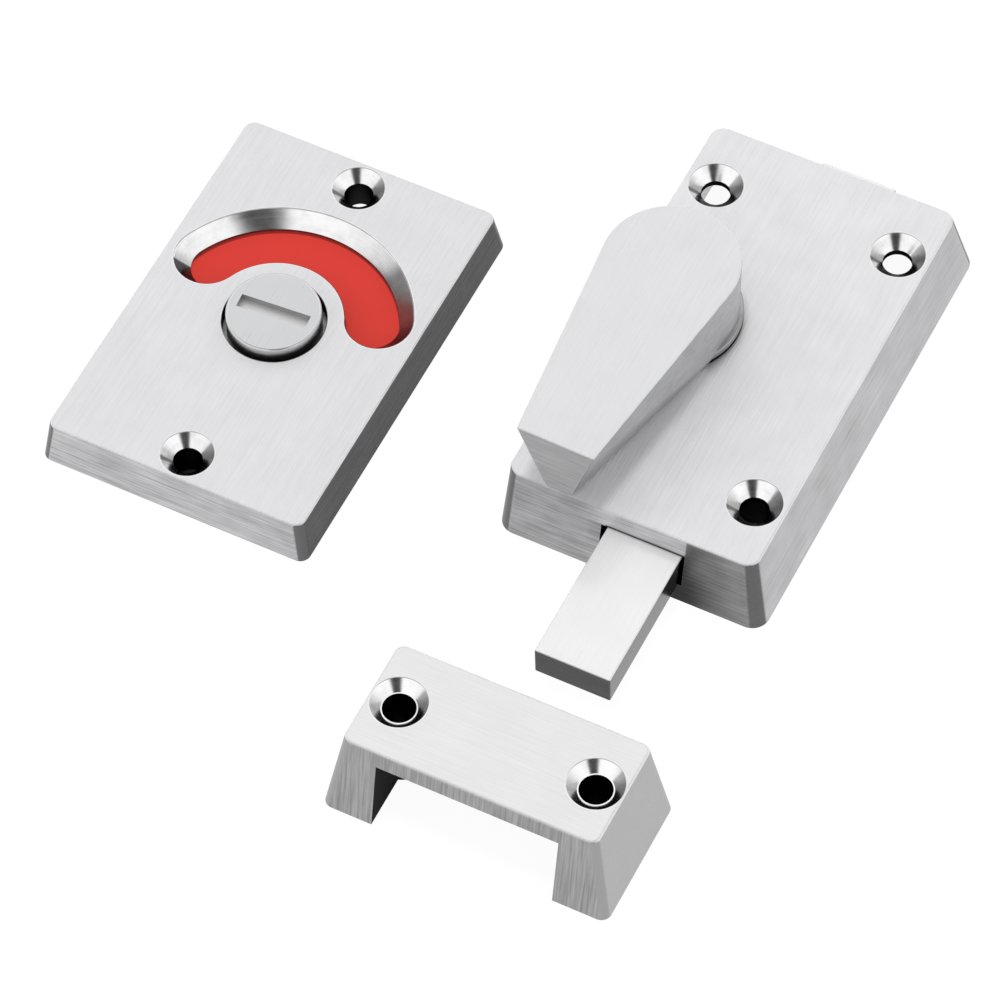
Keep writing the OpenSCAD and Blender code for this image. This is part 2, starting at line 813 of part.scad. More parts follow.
// Bridge over the bolt, with a stout pillar around each screw hole
module keeper() {
    gap_h = keeper_h - keeper_bridge_t;
    pillar_r = keeper_hole_d / 2 + keeper_pillar_t;
    color("gainsboro")
    at_keeper()
    difference() {
        drafted_block(
            keeper_w, keeper_d, keeper_h, keeper_inset, keeper_corner_r, keeper_foot_r,
            keeper_inset - keeper_left_lean, keeper_inset - keeper_back_lean
        );
        difference() {
            translate([-keeper_gap_w / 2, -keeper_d, -over])
                cube([keeper_gap_w, 2 * keeper_d, gap_h + over]);
            for (s = [-1, 1])
                translate([s * keeper_hole_dx / 2, 0, -2 * over]) cylinder(h = keeper_h, r = pillar_r);
        }
        for (s = [-1, 1])
            translate([s * keeper_hole_dx / 2, 0, keeper_h])
                sunk_hole(keeper_h, keeper_hole_d, keeper_sink_d);
    }
}

lock_case();
case_back_plate();
back_plate_screws();
bolt();
bolt_stop_pin();
drive_pinion();
upper_bush();
lower_bush();
friction_spring();
turn_lever();
lever_washer();
lever_grub_screw();
indicator_plate();
release_knob();
indicator_disc();
red_sector();
green_sector();
disc_circlip();
spring_washer();
disc_stop_pin();
plate_back_cover();
cover_screws();
keeper();
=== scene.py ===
"""Looks of a toilet indicator bolt on its CAD frame: case, lever, bolt, indicator plate and keeper."""

import logging
import math
from contextlib import contextmanager
from dataclasses import dataclass
from enum import Enum, IntEnum
from typing import Any, Callable, Iterator, Mapping, Sequence, Union

import bmesh
import bpy
from mathutils import Matrix, Vector


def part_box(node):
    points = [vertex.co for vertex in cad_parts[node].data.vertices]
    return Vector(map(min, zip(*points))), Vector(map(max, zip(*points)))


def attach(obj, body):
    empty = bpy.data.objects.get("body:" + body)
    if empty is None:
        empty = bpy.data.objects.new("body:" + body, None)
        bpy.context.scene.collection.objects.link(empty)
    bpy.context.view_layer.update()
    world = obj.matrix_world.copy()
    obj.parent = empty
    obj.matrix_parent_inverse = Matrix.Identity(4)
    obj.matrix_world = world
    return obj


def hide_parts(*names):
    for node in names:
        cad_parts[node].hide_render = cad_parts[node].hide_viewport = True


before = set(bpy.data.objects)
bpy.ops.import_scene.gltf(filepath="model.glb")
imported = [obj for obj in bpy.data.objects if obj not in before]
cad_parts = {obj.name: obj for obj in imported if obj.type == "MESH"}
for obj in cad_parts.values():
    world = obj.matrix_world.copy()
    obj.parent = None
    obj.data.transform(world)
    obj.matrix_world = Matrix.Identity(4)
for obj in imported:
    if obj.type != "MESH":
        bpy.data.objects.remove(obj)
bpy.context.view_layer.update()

Material = bpy.types.Material
Piece = bpy.types.Object
Socket = bpy.types.NodeSocket
Number = Union["Wire", float]
Span = tuple[float, float]
Point = tuple[float, float, float]
Test = Callable[[Any], bool]
Palette = Mapping[str, Material]

MM = 0.001
LOG = logging.getLogger("indicator_bolt")
NEUTRAL: Point = (1.0, 1.0, 1.0)
COOL: Point = (0.99, 0.99, 1.01)
ORIGIN: Span = (0.0, 0.0)
OVER = 0.5 * MM  # reach of a cutter past what it cuts
LEVEL = 2e-6  # heights closer than this are the same
SHARP = math.radians(38)  # edges flatter than this are never rounded
SCREW_HEAD_R = 2.2 * MM
SCREW_HOLE_R = 1.25 * MM
SCREW_SKIN = 2.0 * MM  # metal left over a blind screw hole
CORNER_STEPS = 12  # faces round a block's upright corner
BOX_STEPS = 6  # faces round a cutter's upright corner
EDGE_STEPS = 3  # faces across a rounded edge
FLAT_WEIGHT = 100  # share of large faces in the normals beside them
UPRIGHT = 90.0
# LIT_R and LIT_SHIFT place the window edge's painted shadow on the colours
LIT_R = 18.98 * MM  # radius of what the window's edge leaves lit
LIT_SHIFT: Span = (0.26 * MM, -0.31 * MM)  # its place from the knob's axis


class Grain(Enum):
    """Direction of the brushing on a face: whether its streaks are fine along X, Y and Z."""

    ACROSS = (False, True, True)
    ALONG = (True, False, True)
    UPRIGHT = (True, False, False)


class Part(Enum):
    """Kind of mesh element that a modelling step picks."""

    VERT = "VERT"
    EDGE = "EDGE"


class Round(IntEnum):
    """Corners round a circle, by what it is for."""

    SCREW = 32
    POST = 40
    RELIEF = 48
    PILLAR = 56
    HOLE = 72
    LARGE = 96


def math_step(operation: str, reflected: bool = False) -> Callable[["Wire", Number], "Wire"]:
    """A method of Wire that adds one Math node.

    Args:
        operation: name of the operation.
        reflected: whether the other value comes first.

    Returns:
        The method.
    """

    def method(self: "Wire", other: Number) -> "Wire":
        """Adds the node and returns its result."""
        pair = (other, self) if reflected else (self, other)
        return self.graph.wire(self.graph.node("ShaderNodeMath", dict(enumerate(pair)), operation=operation))

    return method


class Wire:
    """A shader socket that adds Math nodes when it takes part in arithmetic."""

    __add__ = math_step("ADD")
    __radd__ = math_step("ADD", reflected=True)
    __sub__ = math_step("SUBTRACT")
    __rsub__ = math_step("SUBTRACT", reflected=True)
    __mul__ = math_step("MULTIPLY")
    __rmul__ = math_step("MULTIPLY", reflected=True)
    __truediv__ = math_step("DIVIDE")
    __pow__ = math_step("POWER")
    at_most = math_step("MINIMUM")
    at_least = math_step("MAXIMUM")

    def __init__(self, graph: "Graph", socket: Socket) -> None:
        """Args: graph: owner of the nodes. socket: output that carries the value."""
        self.graph = graph
        self.socket = socket

    def ramp(self, low: float, high: float, base: float = 0.0) -> "Wire":
        """Smooth step from 0 at low to 1 at high, both counted from the base."""
        inputs = {"Value": self, "From Min": base + low, "From Max": base + high}
        return self.graph.wire(self.graph.node("ShaderNodeMapRange", inputs, interpolation_type="SMOOTHSTEP"))


class Graph:
    """A node tree that is filled from nothing."""

    def __init__(self, tree: bpy.types.NodeTree) -> None:
        """Args: tree: node tree to empty and fill."""
        self.tree = tree
        tree.nodes.clear()

    def node(self, kind: str, inputs: Mapping[Any, Any] | None = None, **settings: Any) -> bpy.types.Node:
        """Adds a node of any kind.

        Args:
            kind: Blender's name of the node type.
            inputs: wires, sockets or constants by input name or number.
            **settings: values of the node's own properties.

        Returns:
            The new node.
        """
        node = self.tree.nodes.new(kind)
        for name, value in settings.items():
            setattr(node, name, value)
        for key, value in (inputs or {}).items():
            source = value.socket if isinstance(value, Wire) else value
            if isinstance(source, Socket):
                self.tree.links.new(source, node.inputs[key])
            else:
                node.inputs[key].default_value = source
        return node

    def wire(self, node: bpy.types.Node, output: str | int = 0) -> Wire:
        """One output of a node as a wire."""
        return Wire(self, node.outputs[output])

    def axes(self, vector: Socket) -> list[Wire]:
        """X, Y and Z of a vector."""
        split = self.node("ShaderNodeSeparateXYZ", {0: vector})
        return [self.wire(split, axis) for axis in range(3)]

    def noise(self, coords: Socket, per_metre: Point, detail: float = 2.0) -> Wire:
        """Noise from about -0.5 to 0.5, with so many features per metre and finer layers."""
        mapped = self.node("ShaderNodeMapping", {"Vector": coords, "Scale": per_metre}).outputs[0]
        return self.wire(self.node("ShaderNodeTexNoise", {0: mapped, "Scale": 1.0, "Detail": detail})) - 0.5

    def colour(self, value: Number, tint: Point) -> Socket:
        """A grey of some brightness with a tint's shares of red, green and blue."""
        channels = {name: value * share for name, share in zip(("Red", "Green", "Blue"), tint)}
        return self.node("ShaderNodeCombineColor", channels).outputs[0]

    def surface(self, inputs: Mapping[str, Any], height: Wire, depth: float, strength: float = 1.0) -> None:
        """Ends the graph in a Principled shader with a relief.

        Args:
            inputs: the shader's inputs.
            height: height of the relief, from about -0.5 to 0.5.
            depth: depth of the relief in metres.
            strength: share of the relief that shows.
        """
        relief = {"Strength": strength, "Distance": depth, "Height": height + 0.5}
        normal = self.node("ShaderNodeBump", relief).outputs[0]
        shader = self.node("ShaderNodeBsdfPrincipled", {**inputs, "Normal": normal})
        self.node("ShaderNodeOutputMaterial", {"Surface": shader.outputs[0]})


def new_surface(name: str) -> tuple[Material, Graph]:
    """An empty material and its graph.

    Args:
        name: the material's name.

    Returns:
        The material and its graph.
    """
    material = bpy.data.materials.new(name)
    material.use_nodes = True
    return material, Graph(material.node_tree)


@dataclass(frozen=True)
class Finish:
    """Look of a surface, named as its material."""

    name: str

    def fill(self, graph: Graph, place: Socket, normal: Socket) -> None:
        """Fills the graph of the material, in each finish's own way."""
        raise NotImplementedError

    def material(self) -> Material:
        """Builds the material.

        Returns:
            The material.
        """
        material, graph = new_surface(self.name)
        coords = graph.node("ShaderNodeTexCoord").outputs
        self.fill(graph, coords["Object"], coords["Normal"])
        return material


@dataclass(frozen=True)
class Mouth:
    """Painted light and shade of the case's front round the bolt's mouth.

    A painted reflection of the bolt, a light band of brightness sheen, runs above the mouth, with a painted
    shadow line on its upper rim. A painted shade patch, whose depth is the field after sheen, lies on its
    right and fades until X is end; its core is the darkest. The spans climb and low are heights; the others
    are counted from the mouth's left or right side or its top.
    """

    left: float
    right: float
    top: float
    # brightness of the painted reflection above the mouth
    sheen: float
    # depth of the painted shade patch on the right
    shadow_and_stain: float
    end: float
    soft: Span = (0.0, 0.3 * MM)
    fade: Span = (0.55, 0.5)
    climb: Span = (2.0 * MM, 11.0 * MM)
    low: Span = (3.0 * MM, 8.0 * MM)
    under: Span = (-8.0 * MM, -1.0 * MM)
    core: Span = (0.5 * MM, 4.5 * MM)
    core_depth: float = 0.8
    band_x: Span = (-4.0 * MM, 0.0)
    band_z: Span = (0.0, 0.4 * MM)
    line_x: Span = (-0.1 * MM, 0.0)
    line_low: Span = (-0.3 * MM, -0.1 * MM)
    line_high: Span = (0.15 * MM, 0.4 * MM)
    line_depth: float = 0.9

    def light(self, graph: Graph, place: Socket, front: float) -> Wire:
        """Brightness of the front, with its painted light and shade.

        Args:
            graph: graph of the material.
            place: object coordinates.
            front: brightness away from the mouth.

        Returns:
            The brightness.
        """
        x, _, z = graph.axes(place)
        # painted shade patch right of the mouth, darkest low down and in its core
        beside = x.ramp(*self.soft, self.right)
        low = 1.0 - z.ramp(*self.low)
        dark = beside.at_least(x.ramp(*self.under, self.right) * low)
        patch = dark * (1.0 - x.ramp(self.right, self.end) * self.fade[0])
        patch = patch * (1.0 - z.ramp(*self.climb) * self.fade[1])
        core = dark * low * (1.0 - x.ramp(*self.core, self.right))
        # painted reflection of the bolt: a light band above the mouth
        band = x.ramp(*self.band_x, self.left) * (1.0 - beside) * z.ramp(*self.band_z, self.top)
        # painted shadow line on the mouth's upper rim
        line = x.ramp(*self.line_x, self.left) * (1.0 - beside) * z.ramp(*self.line_low, self.top)
        line = line * (1.0 - z.ramp(*self.line_high, self.top))
        value = front + (self.sheen - front) * band
        value = value * (1.0 - patch * self.shadow_and_stain) * (1.0 - line * self.line_depth)
        return value * (1.0 - core * self.core_depth)


@dataclass(frozen=True)
class SatinSteel(Finish):
    """Stainless steel brushed along each face, with painted light and shade on each side.

    The brightness is painted light and shade by the way a face turns: face where it looks up or down, front
    along -Y, side along X, rest elsewhere, a painted shade band corner on upright corners and a painted
    highlight edge on the rounded edges round the face. The shares matt and side_matt scatter light instead of
    mirroring it, with gloss as their reflection. Brushing has fine streaks per metre across and long along
    it; calm is the share of its contrast that faces and corners lose, and side_streak the share that the
    sides keep. Soft patches have the contrasts cloud on the sides and face_cloud on the face. A mouth adds
    painted light and shade round the bolt's mouth.
    """

    # face, front, side and rest: painted light and shade by which way a face turns
    face: float = 0.78
    front: float = 0.62
    side: float = 0.7
    rest: float = 0.7
    rough: float = 0.34
    streak: float = 0.2
    face_grain: Grain = Grain.ALONG
    front_grain: Grain = Grain.ACROSS
    tint: Point = NEUTRAL
    # painted shade on upright corners
    corner: float = 0.45
    corner_span: Span = (0.12, 0.4)
    relief: float = 0.07 * MM
    fine: float = 3800.0
    long: float = 110.0
    patches: float = 160.0
    cloud: float = 0.3
    face_cloud: float = 0.04
    # painted highlight on the rounded edges
    edge: float = 0.92
    edge_span: Span = (0.45, 0.8)
    matt: float = 0.0
    side_matt: float = 0.0
    side_streak: float = 1.0
    calm: Span = (0.88, 0.7)
    rough_change: Span = (0.16, 0.05)
    gloss: float = 0.1
    # painted light and shade round the bolt's mouth
    mouth: Mouth | None = None

    def _brushing(self, graph: Graph, place: Socket, grain: Grain) -> Wire:
        """Streaks of one direction over object coordinates."""
        return graph.noise(place, tuple(self.fine if narrow else self.long for narrow in grain.value))

    def fill(self, graph: Graph, place: Socket, normal: Socket) -> None:
        """Fills the graph.

        Args:
            graph: graph of the material.
            place: object coordinates.
            normal: the surface's normal.
        """
        aside, ahead, above = graph.axes(normal)
        across, along, up = (axis * axis for axis in (aside, ahead, above))
        right, front = aside.at_least(0.0) ** 2.0, ahead.at_most(0.0) * ahead.at_most(0.0)
        face_streak = self._brushing(graph, place, self.face_grain)
        streak = face_streak + (self._brushing(graph, place, self.front_grain) - face_streak) * along
        mottle = graph.noise(place, (self.patches,) * 3, 3.0)
        # painted light and shade: brightness by which way the face turns, with the mouth's painted marks on
        # the front
        ahead_light = self.front if self.mouth is None else self.mouth.light(graph, place, self.front)
        hidden = across - right + along - front
        base = up * self.face + front * ahead_light + right * self.side + hidden * self.rest
        # painted shade band on upright corners
        corner = (across * along * 4.0).ramp(*self.corner_span)
        base = base + (self.corner - base) * corner
        # painted highlight on the rounded edges
        rounded = (up * (1.0 - up) * 4.0).ramp(*self.edge_span) * (1.0 - front * 2.0).at_least(0.0)
        base = base + (self.edge - base) * rounded
        bare = 1.0 - up * self.calm[0] - across * (1.0 - self.side_streak)
        bare = bare * (1.0 - corner * self.calm[1])
        contrast = streak * bare * (4.0 * self.streak) + mottle * (self.face_cloud + bare * self.cloud)
        inputs = {
            "Base Color": graph.colour(base * (1.0 + contrast), self.tint),
            "Metallic": 1.0 - up * self.matt - right * self.side_matt,
            "Specular IOR Level": self.gloss,
            "Roughness": self.rough + streak * self.rough_change[0] + mottle * self.rough_change[1],
        }
        graph.surface(inputs, streak, self.relief)


@dataclass(frozen=True)
class TurnedSteel(Finish):
    """Steel with the fine rings that a drill or lathe leaves.

    A sloped wall gets painted shade, darker by right and left in the two halves of its round, as the camera
    sees it:
    on the right in steps of start, end and depth, and on the left until the cosine -span. The share graze of
    the light is mirrored at flat angles. Pairs of changes are those by the rings and by the soft patches.
    """

    value: float = 0.8
    rough: float = 0.16
    right: float = 0.0
    left: float = 0.0
    span: float = 2.0
    graze: float = 1.0
    rings: Span = (120.0, 5200.0)
    patches: float = 420.0
    change: Span = (0.16, 0.08)
    rough_change: Span = (0.06, 0.05)
    # contrast of the soft patches on walls with painted shade
    shadow_and_stain: float = 0.5
    relief: float = 0.02 * MM
    shown: float = 0.2
    toward: Span = (0.476, -0.88)
    flat: float = 0.05
    slope: Span = (0.2, 0.4)
    halves: Span = (-0.05, 0.05)
    steps: tuple[Point, ...] = ((0.38, 0.55, 0.6), (-0.3, 0.35, 0.65))
    left_start: Span = (-0.03, 0.08)
    left_soft: float = 0.1

    def _shade(self, graph: Graph, normal: Socket) -> Wire:
        """Painted shade: brightness that the way a wall looks leaves it.

        Args:
            graph: graph of the material.
            normal: the surface's normal.

        Returns:
            One where the wall is bright.
        """
        x, y, _ = graph.axes(normal)
        slope = (x * x + y * y) ** 0.5
        clock = (x * self.toward[0] + y * self.toward[1]) / slope.at_least(self.flat)
        on_right = (x * self.toward[1] - y * self.toward[0]).ramp(*self.halves)
        lit: Number = 1.0
        for start, end, depth in self.steps:
            lit = lit * (1.0 - (1.0 - clock.ramp(start, end)) * depth)
        left = (1.0 - clock.ramp(*self.left_start)) * clock.ramp(-self.left_soft, 0.0, -self.span)
        dark = on_right * (1.0 - lit) * self.right + (1.0 - on_right) * left * self.left
        return 1.0 - slope.ramp(*self.slope) * dark

    def fill(self, graph: Graph, place: Socket, normal: Socket) -> None:
        """Fills the graph.

        Args:
            graph: graph of the material.
            place: object coordinates.
            normal: the surface's normal.
        """
        rings = graph.noise(place, (self.rings[0], *self.rings), 1.0)
        mottle = graph.noise(place, (self.patches,) * 3, 3.0)
        value: Number = self.value
        if self.right or self.left:
            value = self._shade(graph, normal) * (1.0 + mottle * self.shadow_and_stain) * self.value
        contrast = rings * self.change[0] + mottle * self.change[1]
        inputs = {
            "Base Color": graph.colour(value * (1.0 + contrast), NEUTRAL),
            "Metallic": 1.0,
            "Specular Tint": (self.graze, self.graze, self.graze, 1.0),
            "Roughness": self.rough + rings * self.rough_change[0] + mottle * self.rough_change[1],
        }
        graph.surface(inputs, rings, self.relief, self.shown)


@dataclass(frozen=True)
class Coating(Finish):
    """Paint or plastic with a faint skin and soft patches.

    Outside lit, the X, Y and radius of the round part that the window's edge leaves lit, it has a painted
    shadow.
    """

    tint: Point
    rough: float = 0.4
    gloss: float = 0.5
    # lit and shade: the window edge's painted shadow on the colour
    lit: Point | None = None
    shade: float = 0.6
    soft: Span = (-0.1 * MM, 0.1 * MM)
    grain: float = 1800.0
    patches: float = 140.0
    change: Span = (0.05, 0.03)
    rough_change: float = 0.06
    relief: float = 0.01 * MM
    shown: float = 0.3

    def fill(self, graph: Graph, place: Socket, normal: Socket) -> None:
        """Fills the graph.

        Args:
            graph: graph of the material.
            place: object coordinates.
            normal: the surface's normal; not used.
        """
        skin = graph.noise(place, (self.grain,) * 3)
        cloud = graph.noise(place, (self.patches,) * 3)
        value = 1.0 + cloud * self.change[0] + skin * self.change[1]
        # painted shadow of the window's edge outside the lit round part
        if self.lit is not None:
            x, y, _ = graph.axes(place)
            aside, along = x - self.lit[0], y - self.lit[1]
            away = (aside * aside + along * along) ** 0.5
            value = value * (1.0 - away.ramp(*self.soft, self.lit[2]) * self.shade)
        inputs = {
            "Base Color": graph.colour(value, self.tint),
            "Roughness": self.rough + cloud * self.rough_change,
            "Specular IOR Level": self.gloss,
        }
        graph.surface(inputs, skin, self.relief, self.shown)


def corners(node: str) -> tuple[Vector, Vector]:
    """Lowest and highest corner of a CAD node's box."""
    low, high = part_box(node)
    return Vector(low), Vector(high)


def middle_of(node: str) -> Span:
    """X and Y of the middle of a CAD node's box."""
    low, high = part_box(node)
    return (low[0] + high[0]) / 2, (low[1] + high[1]) / 2


def screw_places(node: str) -> list[Span]:
    """X and Y of the four screws at the corners of a CAD node's box."""
    xs, ys = ((low + SCREW_HEAD_R, high - SCREW_HEAD_R) for low, high in list(zip(*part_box(node)))[:2])
    return [(x, y) for x in xs for y in ys]


def activate(piece: Piece) -> None:
    """Makes one piece the only selected and active object.

    Args:
        piece: object to activate.
    """
    bpy.ops.object.select_all(action="DESELECT")
    piece.select_set(True)
    bpy.context.view_layer.objects.active = piece


def select_mesh(action: str = "SELECT") -> None:
    """Selects or deselects the whole mesh, in edit mode."""
    bpy.ops.mesh.select_all(action=action)


def face_out() -> None:
    """Turns every face of a closed mesh outwards, in edit mode."""
    select_mesh()
    bpy.ops.mesh.normals_make_consistent(inside=False)


@contextmanager
def editing(piece: Piece) -> Iterator[None]:
    """Edit mode on one piece, with all of its mesh selected.

    Args:
        piece: object to edit.

    Yields:
        Nothing; the piece leaves edit mode afterwards.
    """
    activate(piece)
    bpy.ops.object.mode_set(mode="EDIT")
    bpy.ops.mesh.select_mode(type=Part.VERT.value)
    select_mesh()
    try:
        yield
    finally:
        bpy.ops.object.mode_set(mode="OBJECT")


def pick(piece: Piece, part: Part, test: Test) -> None:
    """Selects what passes a test, in edit mode.

    Args:
        piece: object in edit mode.
        part: kind of element to select.
        test: takes an element and says whether it is wanted.
    """
    bpy.ops.mesh.select_mode(type=part.value)
    select_mesh("DESELECT")
    mesh = bmesh.from_edit_mesh(piece.data)
    elements = mesh.verts if part is Part.VERT else mesh.edges
    for element in [element for element in elements if test(element)]:
        element.select_set(True)
    mesh.select_flush_mode()
    bmesh.update_edit_mesh(piece.data)


def at_height(height: float) -> Test:
    """A test for edges that lie at one height."""
    return lambda edge: all(abs(v.co.z - height) < LEVEL for v in edge.verts)


def name_last(name: str) -> Piece:
    """Names the object that was just added and puts its place into its mesh.

    Args:
        name: the object's name.

    Returns:
        The object.
    """
    piece = bpy.context.object
    piece.name = piece.data.name = name
    activate(piece)
    bpy.ops.object.transform_apply(location=True, rotation=True, scale=True)
    return piece


def close_loops(piece: Piece, heights: Sequence[float]) -> None:
    """Joins outlines at rising heights to a closed solid, in edit mode.

    Args:
        piece: object in edit mode that holds one outline at each height.
        heights: heights of the outlines, from the lowest.
    """
    for low, high in zip(heights, heights[1:]):
        pick(piece, Part.EDGE, lambda edge: at_height(low)(edge) or at_height(high)(edge))
        bpy.ops.mesh.bridge_edge_loops()
    select_mesh()
    bpy.ops.mesh.fill_holes(sides=0)
    face_out()


def box(name: str, low: Sequence[float], high: Sequence[float], corner_r: float = 0.0) -> Piece:
    """Box with upright corners that may be round.

    Args:
        name: the object's name.
        low: lowest corner.
        high: highest corner.
        corner_r: radius of the upright corners.

    Returns:
        The box.
    """
    size = Vector(high) - Vector(low)
    bpy.ops.mesh.primitive_cube_add(size=1.0, location=(Vector(low) + Vector(high)) / 2, scale=size)
    piece = name_last(name)
    if corner_r:
        with editing(piece):
            pick(piece, Part.EDGE, lambda e: abs(e.verts[0].co.z - e.verts[1].co.z) > size.z / 2)
            bpy.ops.mesh.bevel(offset=corner_r, segments=BOX_STEPS, affect="EDGES")
    return piece


def square_bar(name: str, axis: Span, width: float, low: float, high: float) -> Piece:
    """Upright square bar between two heights."""
    half = width / 2
    return box(name, (axis[0] - half, axis[1] - half, low), (axis[0] + half, axis[1] + half, high))


def seat(name: str, node: str, gap: float, corner_r: float) -> Piece:
    """Cutter for the seat of a flat CAD node that closes a back."""
    low, high = corners(node)
    return box(name, low - Vector((gap, gap, OVER)), high + Vector((gap, gap, 0.0)), corner_r)


def turned(name: str, axis: Sequence[float], profile: Sequence[Span], steps: int) -> Piece:
    """Round solid drawn up from a disc, step by step.

    Args:
        name: the object's name.
        axis: place of the upright axis.
        profile: radius and height of each step, from the lowest.
        steps: corners round the axis.

    Returns:
        The solid.
    """
    radius, height = profile[0]
    start = (axis[0], axis[1], height)
    bpy.ops.mesh.primitive_circle_add(vertices=steps, radius=radius, fill_type="NGON", location=start)
    piece = name_last(name)
    with editing(piece):
        for next_radius, next_height in profile[1:]:
            rise, ratio = (0.0, 0.0, next_height - height), next_radius / radius
            bpy.ops.mesh.extrude_region_move(TRANSFORM_OT_translate={"value": rise})
            centre = (axis[0], axis[1], next_height)
            bpy.ops.transform.resize(value=(ratio, ratio, 1.0), center_override=centre)
            radius, height = next_radius, next_height
        face_out()
    return piece


def cylinder(name: str, axis: Span, radius: float, low: float, high: float, steps: int) -> Piece:
    """Round solid of one radius between two heights."""
    return turned(name, axis, [(radius, low), (radius, high)], steps)


def screw_hole(place: Span, top: float) -> Piece:
    """Cutter for a blind screw hole that ends under a face at some height."""
    return cylinder("screw_cutter", place, SCREW_HOLE_R, 0.0, top - SCREW_SKIN, Round.SCREW)


def move(piece: Piece, place: Sequence[float], angle: float, axis: str = "Z") -> None:
    """Turns a mesh by degrees about an axis of the frame and moves it to a place."""
    piece.data.transform(Matrix.Translation(place) @ Matrix.Rotation(math.radians(angle), 4, axis))


def soften(piece: Piece, width: float, test: Test, segments: int) -> None:
    """Rounds the sharp edges that pass a test.

    Args:
        piece: object to change.
        width: width of the rounding.
        test: takes an edge and says whether it is wanted.
        segments: faces across the rounding.
    """
    with editing(piece):
        pick(piece, Part.EDGE, lambda e: e.is_manifold and e.calc_face_angle(0.0) > SHARP and test(e))
        bpy.ops.mesh.bevel(offset=width, segments=segments, affect="EDGES", clamp_overlap=False)


def paint(piece: Piece, material: Material) -> None:
    """Gives a piece one material."""
    piece.data.materials.clear()
    piece.data.materials.append(material)


def paint_where(piece: Piece, material: Material, test: Test) -> None:
    """Gives the faces that pass a test one more material.

    Args:
        piece: object to paint.
        material: the material to add.
        test: takes a face and says whether it gets the material.
    """
    piece.data.materials.append(material)
    for face in piece.data.polygons:
        if test(face):
            face.material_index = len(piece.data.materials) - 1


def combine(piece: Piece, tool: Piece, operation: str = "DIFFERENCE") -> None:
    """Cuts a painted tool from a piece or joins it on, and discards the tool.

    Args:
        piece: object that changes.
        tool: object to cut or join; its material goes to the faces it leaves.
        operation: DIFFERENCE or UNION.
    """
    step = piece.modifiers.new("combine", "BOOLEAN")
    step.object = tool
    step.operation = operation
    step.solver = "EXACT"
    step.material_mode = "TRANSFER"
    activate(piece)
    bpy.ops.object.modifier_apply(modifier=step.name)
    bpy.data.objects.remove(tool)


def cut(piece: Piece, tool: Piece, finish: Material) -> None:
    """Cuts a tool from a piece and leaves its faces one finish."""
    paint(tool, finish)
    combine(piece, tool)


def settle(piece: Piece, body: str, node: str, angle: float = 40.0) -> None:
    """Smooths a finished piece and ties it to the frame.

    Args:
        piece: finished piece.
        body: CAD body that it moves with.
        node: CAD node that it stands for.
        angle: edges flatter than this, in degrees, shade as smooth.
    """
    activate(piece)
    bpy.ops.object.shade_smooth_by_angle(angle=math.radians(angle))
    step = piece.modifiers.new("flat_faces", "WEIGHTED_NORMAL")
    step.keep_sharp = True
    step.weight = FLAT_WEIGHT
    bpy.ops.object.modifier_apply(modifier=step.name)
    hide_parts(node)
    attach(piece, body)
    LOG.info("%s: %d faces for %s", piece.name, len(piece.data.polygons), node)


def lip(radius: float, top: float, width: float, lean: float, rise: float) -> list[Span]:
    """Profile that rounds the rim of a hole and leaves the face above it.

    Args:
        radius: radius of the hole at the face.
        top: height of the face.
        width: width of the rounding.
        lean: slope of the wall under the rim, in degrees.
        rise: how far the profile goes on above the face.

    Returns:
        Radius and height of each step, from the lowest.
    """
    run, climb = width * math.cos(math.radians(lean)), width * math.sin(math.radians(lean))
    shares = (0.0, 0.35, 0.7, 1.0)
    curve = [(radius - (1 - u) ** 2 * run + u**2 * width, top - (1 - u) ** 2 * climb) for u in shares]
    last = (2 * curve[3][0] - curve[2][0], 2 * curve[3][1] - curve[2][1])
    return [*curve[:3], last, (last[0], top + rise)]


@dataclass(frozen=True)
class Draft:
    """Block with leaning sides, rounded upright corners and a softened upper edge."""

    lean: float
    left_lean: float
    back_lean: float
    corner_r: float
    foot_r: float
    edge: float

    def build(self, name: str, low: Vector, high: Vector) -> Piece:
        """Models the block.

        Args:
            name: the object's name.
            low: lowest corner of its box.
            high: highest corner of its box.

        Returns:
            The block.
        """
        near = low + Vector((self.left_lean, self.lean, 0.0))
        far = high - Vector((self.lean, self.back_lean, 0.0))
        outlines = ((low, high, low.z, self.foot_r), (near, far, high.z, self.corner_r))
        bpy.ops.mesh.primitive_plane_add(size=1.0, location=low)
        piece = name_last(name)
        with editing(piece):
            bpy.ops.mesh.delete(type="VERT")
            for start, end, height, radius in outlines:
                place = ((start.x + end.x) / 2, (start.y + end.y) / 2, height)
                select_mesh("DESELECT")
                bpy.ops.mesh.primitive_plane_add(size=1.0, location=place)
                bpy.ops.transform.resize(value=(end.x - start.x, end.y - start.y, 1.0), center_override=place)
                bpy.ops.mesh.bevel(offset=radius, segments=CORNER_STEPS, affect="VERTICES")
            select_mesh()
            bpy.ops.mesh.delete(type="ONLY_FACE")
            close_loops(piece, (low.z, high.z))
            pick(piece, Part.EDGE, at_height(high.z))
            bpy.ops.mesh.bevel(offset=self.edge, segments=EDGE_STEPS, affect="EDGES")
        return piece


@dataclass
class SunkHole:
    """Screw hole with a countersink, and a ledge of width land between them; its bore is painted near-black
    as shade.
    """

    hole_r: float
    sink_r: float
    sink: Material
    bore_shade: Material
    land: float = 0.0
    rim: float = 0.12 * MM
    lean: float = 45.0

    def drill(self, piece: Piece, place: Span, low: float, top: float) -> None:
        """Cuts the hole.

        Args:
            piece: piece to cut.
            place: X and Y of the hole.
            low: height where the cutter starts.
            top: height of the face.
        """
        neck = top - (self.sink_r - self.hole_r - self.land)
        profile = [(self.hole_r, low), (self.hole_r, neck)]
        if self.land:
            profile.append((self.hole_r + self.land, neck))
        profile += lip(self.sink_r, top, self.rim, self.lean, self.hole_r)
        cutter = turned("hole_cutter", place, profile, Round.HOLE)
        paint(cutter, self.sink)
        paint_where(cutter, self.bore_shade, lambda face: face.center.z < neck - self.rim / 2)
        combine(piece, cutter)


